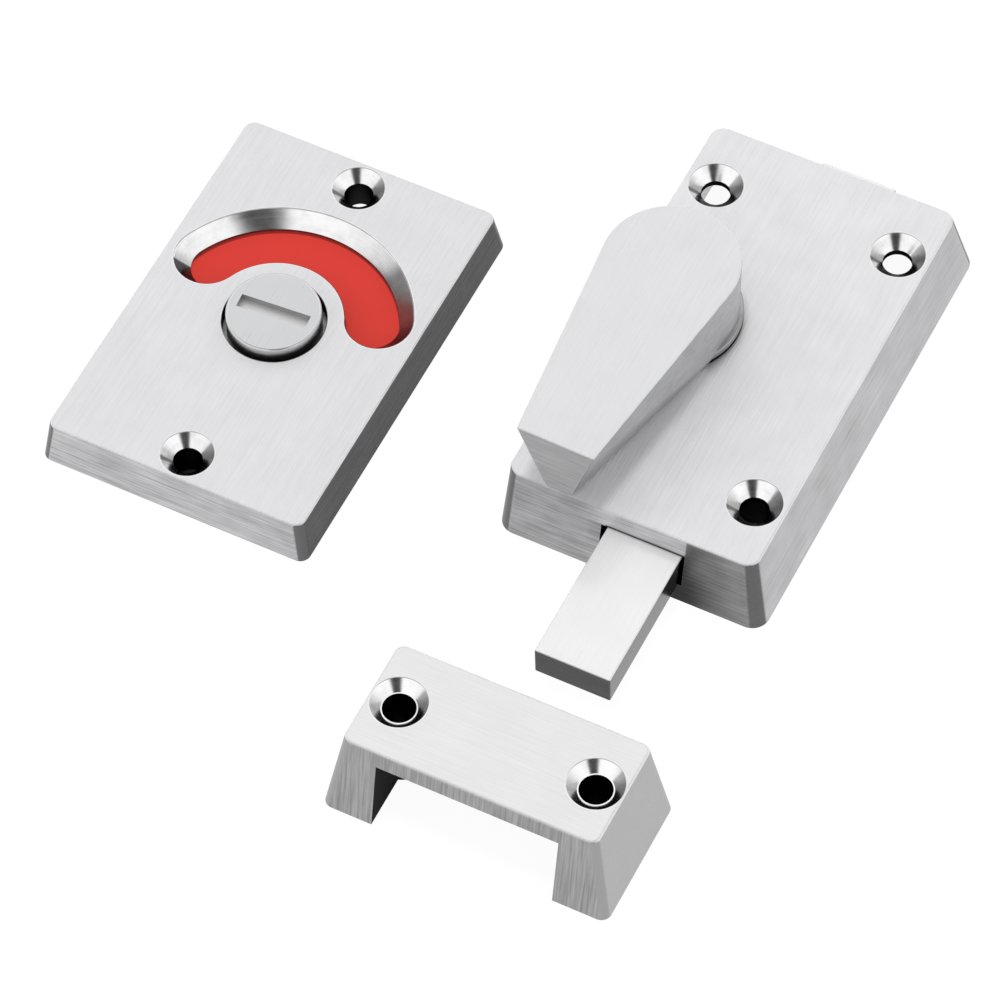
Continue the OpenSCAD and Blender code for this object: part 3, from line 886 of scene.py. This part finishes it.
@dataclass
class LockCase:
    """Hollow inside case with leaning sides, four countersunk holes and the bolt's slots."""

    draft: Draft = Draft(2.5 * MM, 0.75 * MM, 2.5 * MM, corner_r=2.3 * MM, foot_r=2.8 * MM, edge=0.3 * MM)
    face_t: float = 3.0 * MM
    side_t: float = 3.3 * MM
    end_t: float = 3.8 * MM
    hollow_r: float = 2.0 * MM
    hole_side: float = 7.6 * MM
    hole_end: float = 13.4 * MM
    hole_r: float = 2.3 * MM
    sink_r: float = 4.25 * MM
    slot_gap: float = 0.2 * MM
    slot_right_gap: float = 0.45 * MM
    recess_gap: float = 0.1 * MM
    recess_r: float = 1.1 * MM
    post_r: float = 2.6 * MM
    bush_r: float = 6.05 * MM

    def __post_init__(self) -> None:
        """Reads the places that the frame fixes."""
        self.low, self.high = corners("lock_case")
        self.ceiling = self.high.z - self.face_t

    def _hollow(self, finish: Material) -> Piece:
        """Cutter for the hollow, which leaves four posts for the back plate's screws.

        Args:
            finish: finish of the hollow.

        Returns:
            The painted cutter.
        """
        high = Vector((self.high.x - self.side_t, self.high.y - self.end_t, self.ceiling))
        cutter = box("hollow_cutter", (-high.x, -high.y, self.low.z - OVER), high, self.hollow_r)
        paint(cutter, finish)
        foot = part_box("case_back_plate")[1][2]
        for place in screw_places("back_plate_screws"):
            cut(cutter, cylinder("post_cutter", place, self.post_r, foot, self.high.z, Round.POST), finish)
        return cutter

    def build(self, paints: Palette) -> None:
        """Models the case.

        Args:
            paints: the materials by name.
        """
        steel, bore_shade = paints["case_steel"], paints["bore_shade_steel"]
        case = self.draft.build("lock_case_shell", self.low, self.high)
        paint(case, steel)
        combine(case, self._hollow(steel))
        cut(case, seat("recess_cutter", "case_back_plate", self.recess_gap, self.recess_r), steel)
        for place in screw_places("back_plate_screws"):
            cut(case, screw_hole(place, self.ceiling), steel)
        bolt_low, bolt_high = corners("bolt")
        slot = box(
            "slot_cutter",
            (bolt_low.x - self.slot_gap, self.low.y - OVER, bolt_low.z - self.slot_gap),
            (bolt_high.x + self.slot_right_gap, self.high.y + OVER, bolt_high.z + self.slot_gap),
        )
        # the slot's walls are painted near-black as shade
        cut(case, slot, bore_shade)
        pivot = middle_of("upper_bush")
        cut(case, cylinder("bush_cutter", pivot, self.bush_r, 0.0, self.high.z + OVER, Round.HOLE), steel)
        dx, dy = self.high.x - self.hole_side, self.high.y - self.hole_end
        hole = SunkHole(self.hole_r, self.sink_r, paints["sink_steel"], bore_shade)
        for place in ((-dx, -dy), (dx, -dy), (-dx, dy), (dx, dy)):
            hole.drill(case, place, self.ceiling - OVER, self.high.z)
        settle(case, "fixed_parts", "lock_case")


@dataclass
class TurnLever:
    """Tapered handle with a round end on a round foot, turned a little past the bolt's line."""

    radius: float = 10.7 * MM
    low_r: float = 10.4 * MM
    foot_r: float = 11.1 * MM
    foot_h: float = 1.8 * MM
    length: float = 37.6 * MM
    tip_top: float = 12.8 * MM
    tip_low: float = 4.4 * MM
    tip_back: float = 0.8 * MM
    tip_leaf: float = 0.02 * MM
    past: float = 1.25
    edge: float = 0.3 * MM
    foot_edge: float = 0.15 * MM
    # height of the painted shadow line round the foot's base
    foot_dark: float = 0.8 * MM
    socket: float = 7.06 * MM
    socket_l: float = 8.6 * MM
    grub_r: float = 2.0 * MM
    grub_z: float = 4.0 * MM
    join: float = 0.03 * MM
    flat: float = 0.4
    smooth: float = 30.0

    def __post_init__(self) -> None:
        """Reads the heights that the frame fixes."""
        low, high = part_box("turn_lever")
        self.low, self.high = low[2], high[2]

    def _handle(self) -> Piece:
        """The tapered body, drawn tight over its round end and the face of its tip.

        Returns:
            The body.
        """
        leaf, middle = self.tip_leaf, (self.low + self.high) / 2
        profile = [(self.low_r, self.low), (self.radius, self.high)]
        handle = turned("turn_lever_handle", ORIGIN, profile, Round.LARGE)
        with editing(handle):
            select_mesh("DESELECT")
            bpy.ops.mesh.primitive_cube_add(
                size=1.0,
                location=(0.0, leaf / 2 - self.length, middle),
                scale=(self.tip_top, leaf, self.high - self.low),
            )
            pick(handle, Part.VERT, lambda v: v.co.y < 2 * leaf - self.length and v.co.z < middle)
            ratio = self.tip_low / self.tip_top
            bpy.ops.transform.resize(value=(ratio, 1.0, 1.0), center_override=(0.0, -self.length, self.low))
            bpy.ops.transform.translate(value=(0.0, self.tip_back, 0.0))
            select_mesh()
            bpy.ops.mesh.convex_hull()
            select_mesh()
            bpy.ops.mesh.remove_doubles(threshold=self.join)
            select_mesh()
            bpy.ops.mesh.dissolve_limited(angle_limit=math.radians(self.flat))
            face_out()
        soften(handle, self.edge, lambda edge: True, EDGE_STEPS)
        return handle

    def build(self, paints: Palette) -> None:
        """Models the lever.

        Args:
            paints: the materials by name.
        """
        steel = paints["lever_steel"]
        lever = self._handle()
        paint(lever, steel)
        rim, top, dark_top = self.foot_r - self.foot_edge, self.low + self.foot_h, self.low + self.foot_dark
        profile = [
            (rim, self.low),
            (self.foot_r, self.low + self.foot_edge),
            (self.foot_r, dark_top),
            (self.foot_r, top - self.foot_edge),
            (rim, top),
        ]
        foot = turned("lever_foot", ORIGIN, profile, Round.LARGE)
        # painted shade: a darker steel for the foot, and a near-black painted shadow line at its base
        paint(foot, paints["lever_foot_shaded_steel"])
        paint_where(foot, paints["bore_shade_steel"], lambda face: face.center.z < dark_top)
        combine(lever, foot, "UNION")
        socket = square_bar("square_cutter", ORIGIN, self.socket, self.low - OVER, self.low + self.socket_l)
        cut(lever, socket, steel)
        grub = cylinder("grub_cutter", ORIGIN, self.grub_r, 0.0, 2 * self.radius, Round.POST)
        move(grub, (0.0, 0.0, self.low + self.grub_z), -UPRIGHT, "X")
        cut(lever, grub, steel)
        move(lever, (*middle_of("lever_washer"), 0.0), -self.past)
        settle(lever, "lever", "turn_lever", self.smooth)


@dataclass
class IndicatorPlate:
    """Outside plate with two countersunk holes, a half-ring window and a hole for the knob."""

    draft: Draft = Draft(1.0 * MM, 1.0 * MM, 1.0 * MM, corner_r=1.8 * MM, foot_r=1.7 * MM, edge=0.3 * MM)
    rim: float = 0.2 * MM
    hole_end: float = 5.75 * MM
    hole_r: float = 2.3 * MM
    sink_r: float = 4.1 * MM
    relief_w: float = 2.0 * MM
    relief_t: float = 0.5 * MM
    pocket_r: float = 20.5 * MM
    face_t: float = 2.6 * MM
    knob_hole_r: float = 8.1 * MM
    window_in: float = 10.8 * MM
    window_out: float = 21.4 * MM
    window_low: float = 19.2 * MM
    window_end: float = 23.75
    window_low_end: float = 27.0
    window_turn: float = 1.0
    arc_steps: int = 56
    end_steps: int = 20
    cover_gap: float = 0.1 * MM
    cover_r: float = 3.1 * MM

    def __post_init__(self) -> None:
        """Reads the places that the frame fixes."""
        self.low, self.high = corners("indicator_plate")
        middle = (self.low + self.high) / 2
        self.axis = (middle.x, middle.y)
        self.ceiling = self.high.z - self.face_t

    def _outline(self, outer: float, inner: float, height: float) -> None:
        """Draws the window's outline at one height by turning a point, in edit mode.

        Args:
            outer: outer radius.
            inner: inner radius.
            height: height of the outline.
        """
        swing = (self.window_low_end - self.window_end) / self.face_t
        end = math.radians(self.window_end + swing * max(0.0, self.high.z - height))
        start = end + math.radians(self.window_turn)
        sweep = math.pi - 2 * end

        def spot(radius: float, angle: float) -> Point:
            """Place at a radius and an angle round the knob."""
            x, y = self.axis
            return x + radius * math.cos(angle), y + radius * math.sin(angle), height

        bpy.ops.mesh.primitive_plane_add(size=OVER, location=spot(outer, start))
        bpy.ops.mesh.merge(type="CENTER")
        centre, end_r = (*self.axis, height), (outer + inner) / 2
        for steps, angle, middle in (
            (self.arc_steps, -sweep, centre),
            (self.end_steps, -math.pi, spot(end_r, start + sweep)),
            (self.arc_steps, sweep, centre),
            (self.end_steps, -math.pi, spot(end_r, start)),
        ):
            bpy.ops.mesh.spin(steps=steps, angle=angle, center=middle, axis=(0.0, 0.0, 1.0))

    def _window(self) -> Piece:
        """Cutter for the window, sloped outside and upright inside.

        Returns:
            The cutter.
        """
        slope = (self.window_out - self.window_low) / self.face_t
        lean = math.degrees(math.atan(1 / slope))
        outer = lip(self.window_out, self.high.z, self.rim, lean, OVER)
        inner = lip(0.0, self.high.z, self.rim, UPRIGHT, OVER)
        levels = [(self.window_low - slope * OVER, self.window_in, self.ceiling - OVER)]
        levels += [(out[0], self.window_in - side[0], out[1]) for out, side in zip(outer, inner)]
        bpy.ops.mesh.primitive_plane_add(size=OVER, location=(0.0, 0.0, 0.0))
        cutter = name_last("window_cutter")
        with editing(cutter):
            bpy.ops.mesh.delete(type="VERT")
            for level in levels:
                select_mesh("DESELECT")
                self._outline(*level)
            select_mesh()
            bpy.ops.mesh.remove_doubles(threshold=LEVEL)
            close_loops(cutter, [height for _, _, height in levels])
        return cutter

    def build(self, paints: Palette) -> None:
        """Models the plate.

        Args:
            paints: the materials by name.
        """
        steel, sink, bore_shade = paints["plate_steel"], paints["sink_steel"], paints["bore_shade_steel"]
        top = self.high.z
        plate = self.draft.build("indicator_plate_shell", self.low, self.high)
        paint(plate, steel)
        pocket = cylinder("pocket_cutter", self.axis, self.pocket_r, -OVER, self.ceiling, Round.LARGE)
        cut(plate, pocket, steel)
        cut(plate, seat("cover_cutter", "plate_back_cover", self.cover_gap, self.cover_r), steel)
        for place in screw_places("cover_screws"):
            cut(plate, screw_hole(place, top), steel)
        rim = lip(self.knob_hole_r, top, self.rim, UPRIGHT, OVER)
        knob_hole = turned("knob_cutter", self.axis, [(self.knob_hole_r, 0.0), *rim], Round.LARGE)
        # the knob hole's wall below its rim is painted near-black as shade
        paint(knob_hole, bore_shade)
        paint_where(knob_hole, sink, lambda face: face.center.z > rim[0][1])
        combine(plate, knob_hole)
        cut(plate, self._window(), paints["window_steel"])
        hole = SunkHole(self.hole_r, self.sink_r, sink, bore_shade)
        for y in (self.low.y + self.hole_end, self.high.y - self.hole_end):
            place = (self.axis[0], y)
            relief_r = self.hole_r + self.relief_w
            cut(plate, cylinder("relief_cutter", place, relief_r, -OVER, self.relief_t, Round.RELIEF), steel)
            hole.drill(plate, place, -OVER, top)
        settle(plate, "fixed_parts", "indicator_plate")


@dataclass
class ReleaseKnob:
    """Round knob with a coin slot, its journal, the disc's square and a spindle socket."""

    radius: float = 7.4 * MM
    edge: float = 0.35 * MM
    edge_steps: int = 4
    journal_r: float = 4.4 * MM
    groove_r: float = 3.9 * MM
    groove_play: float = 0.05 * MM
    square: float = 9.0 * MM
    socket: float = 5.0 * MM
    slot_l: float = 11.5 * MM
    slot_w: float = 2.4 * MM
    slot_t: float = 1.2 * MM
    slot_turn: float = 4.0
    flat: float = 0.99

    def __post_init__(self) -> None:
        """Reads the places that the frame fixes."""
        self.low, self.high = (corner.z for corner in corners("release_knob"))
        self.axis = middle_of("release_knob")

    def _coin_slot(self) -> Piece:
        """Cutter for the coin slot.

        Returns:
            The cutter.
        """
        floor = (0.0, 0.0, self.high - self.slot_t)
        bpy.ops.mesh.primitive_plane_add(size=1.0, location=floor)
        cutter = name_last("coin_cutter")
        with editing(cutter):
            bpy.ops.transform.resize(value=(self.slot_l, self.slot_w, 1.0), center_override=floor)
            rise = (0.0, 0.0, self.slot_t + OVER)
            bpy.ops.mesh.extrude_region_move(TRANSFORM_OT_translate={"value": rise})
            face_out()
        move(cutter, (*self.axis, 0.0), self.slot_turn)
        return cutter

    def build(self, paints: Palette) -> None:
        """Models the knob.

        Args:
            paints: the materials by name.
        """
        rim, low, top = paints["knob_rim_steel"], self.low, self.high
        disc_low, disc_top = (corner[2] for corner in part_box("indicator_disc"))
        clip_low, clip_top = (corner[2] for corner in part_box("disc_circlip"))
        profile = [
            (self.journal_r, low),
            (self.journal_r, clip_low - self.groove_play),
            (self.groove_r, clip_low - self.groove_play),
            (self.groove_r, clip_top + self.groove_play),
            (self.journal_r, clip_top + self.groove_play),
            (self.journal_r, disc_top),
            (self.radius, disc_top),
            (self.radius, top),
        ]
        knob = turned("release_knob_head", self.axis, profile, Round.LARGE)
        paint(knob, rim)
        soften(knob, self.edge, at_height(top), self.edge_steps)
        edge_z = top - self.edge
        paint_where(knob, paints["knob_steel"], lambda f: f.center.z > edge_z and f.normal.z > self.flat)
        paint_where(knob, paints["polished_steel"], lambda f: f.center.z > edge_z and f.normal.z <= self.flat)
        square = square_bar("disc_square", self.axis, self.square, disc_low, disc_top + self.groove_play)
        paint(square, rim)
        combine(knob, square, "UNION")
        cut(knob, square_bar("socket_cutter", self.axis, self.socket, low - OVER, disc_top), rim)
        coin_slot = self._coin_slot()
        # the coin slot's walls get a darker steel as painted shade
        paint(coin_slot, paints["slot_wall_shaded_steel"])
        paint_where(coin_slot, paints["slot_floor_steel"], lambda face: face.normal.z < -self.flat)
        combine(knob, coin_slot)
        settle(knob, "indicator", "release_knob")


@dataclass
class Keeper:
    """Bridge over the bolt with two countersunk holes and a pillar round each."""

    draft: Draft = Draft(3.0 * MM, 2.4 * MM, 1.0 * MM, corner_r=1.5 * MM, foot_r=1.6 * MM, edge=0.4 * MM)
    bridge_t: float = 2.8 * MM
    leg_t: float = 8.8 * MM
    hole_side: float = 7.6 * MM
    hole_r: float = 2.55 * MM
    sink_r: float = 4.35 * MM
    pillar_r: float = 3.9 * MM
    ledge: float = 0.2 * MM

    def build(self, paints: Palette) -> None:
        """Models the keeper.

        Args:
            paints: the materials by name.
        """
        inside = paints["keeper_inside_shade"]
        low, high = corners("keeper")
        keeper = self.draft.build("keeper_bridge", low, high)
        paint(keeper, paints["keeper_steel"])
        low.x -= self.draft.lean - self.draft.left_lean
        middle_y = (low.y + high.y + self.draft.lean - self.draft.back_lean) / 2
        gap = box(
            "gap_cutter",
            (low.x + self.leg_t, low.y - OVER, low.z - OVER),
            (high.x - self.leg_t, high.y + OVER, high.z - self.bridge_t),
        )
        # the faces under the bridge are painted near-black as shade
        paint(gap, inside)
        places = [(x, middle_y) for x in (low.x + self.hole_side, high.x - self.hole_side)]
        for place in places:
            pillar = cylinder("pillar_cutter", place, self.pillar_r, -2 * OVER, high.z, Round.PILLAR)
            cut(gap, pillar, inside)
        combine(keeper, gap)
        sink, bore_shade = paints["keeper_sink_steel"], paints["bore_shade_steel"]
        hole = SunkHole(self.hole_r, self.sink_r, sink, bore_shade, self.ledge)
        for place in places:
            hole.drill(keeper, place, -OVER, high.z)
        settle(keeper, "fixed_parts", "keeper")


INNER_FINISHES: dict[str, tuple[str, ...]] = {
    "bolt_steel": ("bolt",),
    "machined_steel": ("bolt_stop_pin", "drive_pinion", "disc_stop_pin"),
    "sheet_steel": ("case_back_plate", "indicator_disc", "plate_back_cover"),
    "dark_steel": ("back_plate_screws", "lever_grub_screw", "cover_screws"),
    "spring_steel": ("friction_spring", "disc_circlip", "spring_washer"),
    "nylon": ("upper_bush", "lower_bush"),
    "black_nylon": ("lever_washer",),
    "red": ("red_sector",),
    "green": ("green_sector",),
}


@dataclass
class InnerWorks:
    """CAD nodes that keep their shape and get their finish."""

    edge: float = 0.25 * MM
    edge_angle: float = 50.0
    flat_angle: float = 0.5
    weld: float = 1e-6

    def dress(self, paints: Palette) -> None:
        """Gives every remaining CAD node its material.

        Args:
            paints: the materials by name.
        """
        for finish, names in INNER_FINISHES.items():
            for name in names:
                paint(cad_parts[name], paints[finish])
                LOG.info("%s: CAD shape with %s", name, finish)

    def round_edges(self, name: str) -> None:
        """Rounds the edges of a CAD node by modifiers, with its mesh as it is.

        Args:
            name: the node's name.
        """
        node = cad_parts[name]
        node.modifiers.new("joined", "WELD").merge_threshold = self.weld
        flat = node.modifiers.new("flat", "DECIMATE")
        flat.decimate_type = "DISSOLVE"
        flat.angle_limit = math.radians(self.flat_angle)
        edge = node.modifiers.new("edge", "BEVEL")
        edge.width = self.edge
        edge.segments = EDGE_STEPS
        edge.limit_method = "ANGLE"
        edge.angle_limit = math.radians(self.edge_angle)
        edge.use_clamp_overlap = False
        edge.harden_normals = False
        node.modifiers.new("flat_faces", "WEIGHTED_NORMAL").weight = FLAT_WEIGHT


@dataclass(frozen=True)
class Lobe:
    """A soft patch of the room: its direction, the cosines where it starts and is full, its strength."""

    towards: Point
    start: float
    full: float
    strength: float


@dataclass
class Studio:
    """White floor, soft light and the photograph's camera."""

    azimuth: float = 28.378
    elevation: float = 55.331
    roll: float = -2.073
    target: Point = (-22.712 * MM, -34.424 * MM, 0.0)
    distance: float = 901.01 * MM
    focal_px: float = 5959.08
    image_px: float = 1001.0
    sensor: float = 36.0
    clip: Span = (0.01, 50.0)
    floor_size: float = 6.0
    floor_drop: float = 0.02 * MM
    floor_white: float = 0.9
    floor_glow: float = 1.05
    floor_shown: float = 0.9
    # brightness of the painted shade under the pieces
    floor_dark: float = 0.04
    # rectangles of painted shade on the floor, under the case's front and the plate's lower hole
    shade: tuple[tuple[float, float, float, float], ...] = (
        (-20.0 * MM, 23.0 * MM, -36.0 * MM, -8.0 * MM),
        (-76.0 * MM, -58.0 * MM, -55.0 * MM, -40.0 * MM),
    )
    shade_soft: float = 2.0 * MM
    horizon: float = 0.5
    lobes: tuple[Lobe, ...] = (
        Lobe((0.0, 0.0, 1.0), 0.02, 0.42, 1.0),
        Lobe((0.0, 0.0, 1.0), 0.6, 0.7, 0.45),
        Lobe((-0.271, 0.501, 0.822), 0.9, 0.96, 1.0),
        Lobe((0.472, -0.669, 0.57), 0.93, 0.985, 0.05),
    )
    sun_from: Point = (-0.05, -0.03, 1.0)
    sun_strength: float = 0.87
    sun_angle: float = 8.0

    def camera(self) -> None:
        """Sets the camera where the photograph was taken."""
        a, e, r = (math.radians(v) for v in (self.azimuth, self.elevation, self.roll))
        right = Vector((math.cos(a), math.sin(a), 0.0))
        back = Vector((math.sin(a) * math.cos(e), -math.cos(a) * math.cos(e), math.sin(e)))
        up = back.cross(right)
        rolled_right = math.cos(r) * right + math.sin(r) * up
        rolled_up = -math.sin(r) * right + math.cos(r) * up
        data = bpy.data.cameras.new("camera")
        data.sensor_width = self.sensor
        data.lens = self.focal_px / self.image_px * self.sensor
        data.clip_start, data.clip_end = self.clip
        camera = bpy.data.objects.new("camera", data)
        turn = Matrix((rolled_right, rolled_up, back)).transposed()
        camera.matrix_world = Matrix.Translation(Vector(self.target) + back * self.distance) @ turn.to_4x4()
        bpy.context.collection.objects.link(camera)
        bpy.context.scene.camera = camera

    def _open(self, graph: Graph) -> Number:
        """Share of the floor outside the rectangles of painted shade under the pieces.

        Args:
            graph: graph of the floor's material.

        Returns:
            One in the open and zero under the shaded rectangles.
        """
        x, y, _ = graph.axes(graph.node("ShaderNodeTexCoord").outputs["Object"])
        light: Number = 1.0
        for left, right, near, far in self.shade:
            inside: Number = 1.0
            for axis, low, high in ((x, left, right), (y, near, far)):
                inside = inside * axis.ramp(0.0, self.shade_soft, low)
                inside = inside * (1.0 - axis.ramp(-self.shade_soft, 0.0, high))
            light = light * (1.0 - inside)
        return light

    def floor(self) -> None:
        """Lays the white floor, which shows white to the camera and in the metal, with painted shade under
        some pieces.
        """
        bpy.ops.mesh.primitive_plane_add(size=self.floor_size, location=(0.0, 0.0, -self.floor_drop))
        floor = name_last("floor")
        material, graph = new_surface("white_floor")
        rays = graph.node("ShaderNodeLightPath")
        seen = graph.wire(rays, "Is Camera Ray")
        for ray in ("Is Glossy Ray", "Is Transmission Ray"):
            seen = seen.at_least(graph.wire(rays, ray))
        white, dark = ((*(value,) * 3, 1.0) for value in (self.floor_white, self.floor_dark))
        matt = graph.node("ShaderNodeBsdfDiffuse", {"Color": white}).outputs[0]
        # painted shade: a dark floor in the rectangles
        floor_shade = graph.node("ShaderNodeBsdfDiffuse", {"Color": dark}).outputs[0]
        glow = {"Color": (*NEUTRAL, 1.0), "Strength": self.floor_glow}
        bright = graph.node("ShaderNodeEmission", glow).outputs[0]
        lit = graph.node("ShaderNodeMixShader", {0: seen * self.floor_shown, 1: matt, 2: bright}).outputs[0]
        mixed = graph.node("ShaderNodeMixShader", {0: self._open(graph), 1: floor_shade, 2: lit})
        graph.node("ShaderNodeOutputMaterial", {"Surface": mixed.outputs[0]})
        paint(floor, material)

    def sky(self) -> None:
        """Lights the scene from a bright room that is darker on the camera's side."""
        world = bpy.data.worlds.new("studio")
        world.use_nodes = True
        bpy.context.scene.world = world
        graph = Graph(world.node_tree)
        ray = graph.node("ShaderNodeTexCoord").outputs["Generated"]
        strength: Number = self.horizon
        for lobe in self.lobes:
            pair = {0: ray, 1: Vector(lobe.towards).normalized()}
            facing = graph.node("ShaderNodeVectorMath", pair, operation="DOT_PRODUCT")
            share = graph.wire(facing, "Value").ramp(lobe.start, lobe.full)
            strength = strength * (1.0 - share) + share * lobe.strength
        light = graph.node("ShaderNodeBackground", {"Color": (*NEUTRAL, 1.0), "Strength": strength})
        graph.node("ShaderNodeOutputWorld", {"Surface": light.outputs[0]})

    def sun(self) -> None:
        """Adds the lamp overhead that draws the shadows under the lever's leaning sides."""
        data = bpy.data.lights.new("overhead", "SUN")
        data.energy = self.sun_strength
        data.angle = math.radians(self.sun_angle)
        lamp = bpy.data.objects.new("overhead", data)
        lamp.rotation_euler = Vector(self.sun_from).to_track_quat("Z", "Y").to_euler()
        lamp.visible_glossy = False
        bpy.context.collection.objects.link(lamp)

    def build(self) -> None:
        """Sets up camera, floor and light."""
        for step in (self.camera, self.floor, self.sky, self.sun):
            step()
        bpy.context.scene.view_settings.view_transform = "Standard"


def window_paint(name: str, tint: Point, sign: float) -> Coating:
    """Paint of one colour with the window edge's painted shadow, placed for the window at rest (sign 1) or
    half a turn away from it (-1).
    """
    x, y = (middle + sign * step for middle, step in zip(middle_of("release_knob"), LIT_SHIFT))
    return Coating(name, tint, rough=0.45, gloss=0.25, lit=(x, y, LIT_R))


def palette() -> Palette:
    """Builds every finish.

    Returns:
        The materials by name.
    """
    # painted reflection above the bolt's mouth and painted shade beside it
    mouth = Mouth(-3.6 * MM, 9.3 * MM, 8.9 * MM, sheen=0.56, shadow_and_stain=0.95, end=20.0 * MM)
    brushed = {"streak": 0.35, "matt": 0.8}
    cool = {"tint": COOL, **brushed}
    cased = {"side_streak": 0.5, "mouth": mouth, **cool}
    across = {"face_grain": Grain.ACROSS, "front_grain": Grain.UPRIGHT, "relief": 0.03 * MM, **brushed}
    fine = {"relief": 0.01 * MM, "matt": 0.8}
    sloped = {"span": 0.15, "graze": 0.6}
    # SatinSteel numbers after the name are face, front and side: painted light and shade by which way a face
    # turns; corner paints shade on upright corners and edge a highlight on rounded edges
    finishes: tuple[Finish, ...] = (
        SatinSteel("case_steel", 0.85, 0.335, 0.48, corner=0.14, cloud=0.8, **cased),
        SatinSteel("plate_steel", 0.815, 0.5, 0.085, corner=0.16, cloud=0.5, side_matt=1.0, **cool),
        SatinSteel("keeper_steel", 0.865, 0.32, 0.42, corner=0.36, side_streak=0.2, **across),
        SatinSteel("lever_steel", 0.815, 0.36, 0.6, tint=COOL, matt=0.8),
        # painted shade: a darker copy of the lever's steel for its foot
        SatinSteel("lever_foot_shaded_steel", 0.5, 0.24, 0.4, rest=0.4, corner=0.32, edge=0.42),
        SatinSteel("knob_steel", 0.705, rough=0.3, tint=(0.98, 0.99, 1.0), **fine),
        SatinSteel("bolt_steel", 0.95, 0.06, 0.1, rough=0.2, corner=0.1, **fine),
        SatinSteel("sheet_steel", 0.6, rough=0.4),
        # painted shade: near-black steel in bores, the bolt's slot, the knob hole and the line at the lever's
        # foot
        TurnedSteel("bore_shade_steel", 0.02, 0.45, graze=0.3),
        # painted shade: the coin slot's walls darker than its floor
        TurnedSteel("slot_wall_shaded_steel", 0.5, 0.4),
        TurnedSteel("slot_floor_steel", 1.0, 0.55),
        TurnedSteel("knob_rim_steel", 0.7, 0.3),
        # right and left paint shade on the sloped walls of the window and the countersinks
        TurnedSteel("window_steel", 0.95, 0.18, right=0.9, left=0.85, graze=0.4),
        TurnedSteel("polished_steel"),
        TurnedSteel("sink_steel", 0.95, right=0.85, left=0.6, **sloped),
        TurnedSteel("keeper_sink_steel", 1.0, right=0.75, left=0.12, **sloped),
        TurnedSteel("machined_steel", 0.6, 0.28),
        TurnedSteel("spring_steel", 0.35, 0.3),
        TurnedSteel("dark_steel", 0.2, 0.35),
        # painted shade: near-black faces under the keeper's bridge
        Coating("keeper_inside_shade", (0.05, 0.05, 0.051), 0.6, 0.0),
        Coating("nylon", (0.72, 0.66, 0.52), 0.45),
        Coating("black_nylon", (0.015, 0.015, 0.016), 0.5),
        window_paint("red", (0.81, 0.046, 0.031), 1.0),
        window_paint("green", (0.03, 0.34, 0.09), -1.0),
    )
    return {finish.name: finish.material() for finish in finishes}


def main() -> None:
    """Builds and dresses every sub-assembly in order."""
    logging.basicConfig(level=logging.INFO, format="%(name)s %(message)s")
    paints = palette()
    for assembly in (LockCase(), TurnLever(), IndicatorPlate(), ReleaseKnob(), Keeper()):
        assembly.build(paints)
    works = InnerWorks()
    works.dress(paints)
    works.round_edges("bolt")
    Studio().build()


if __name__ == "__main__":
    main()
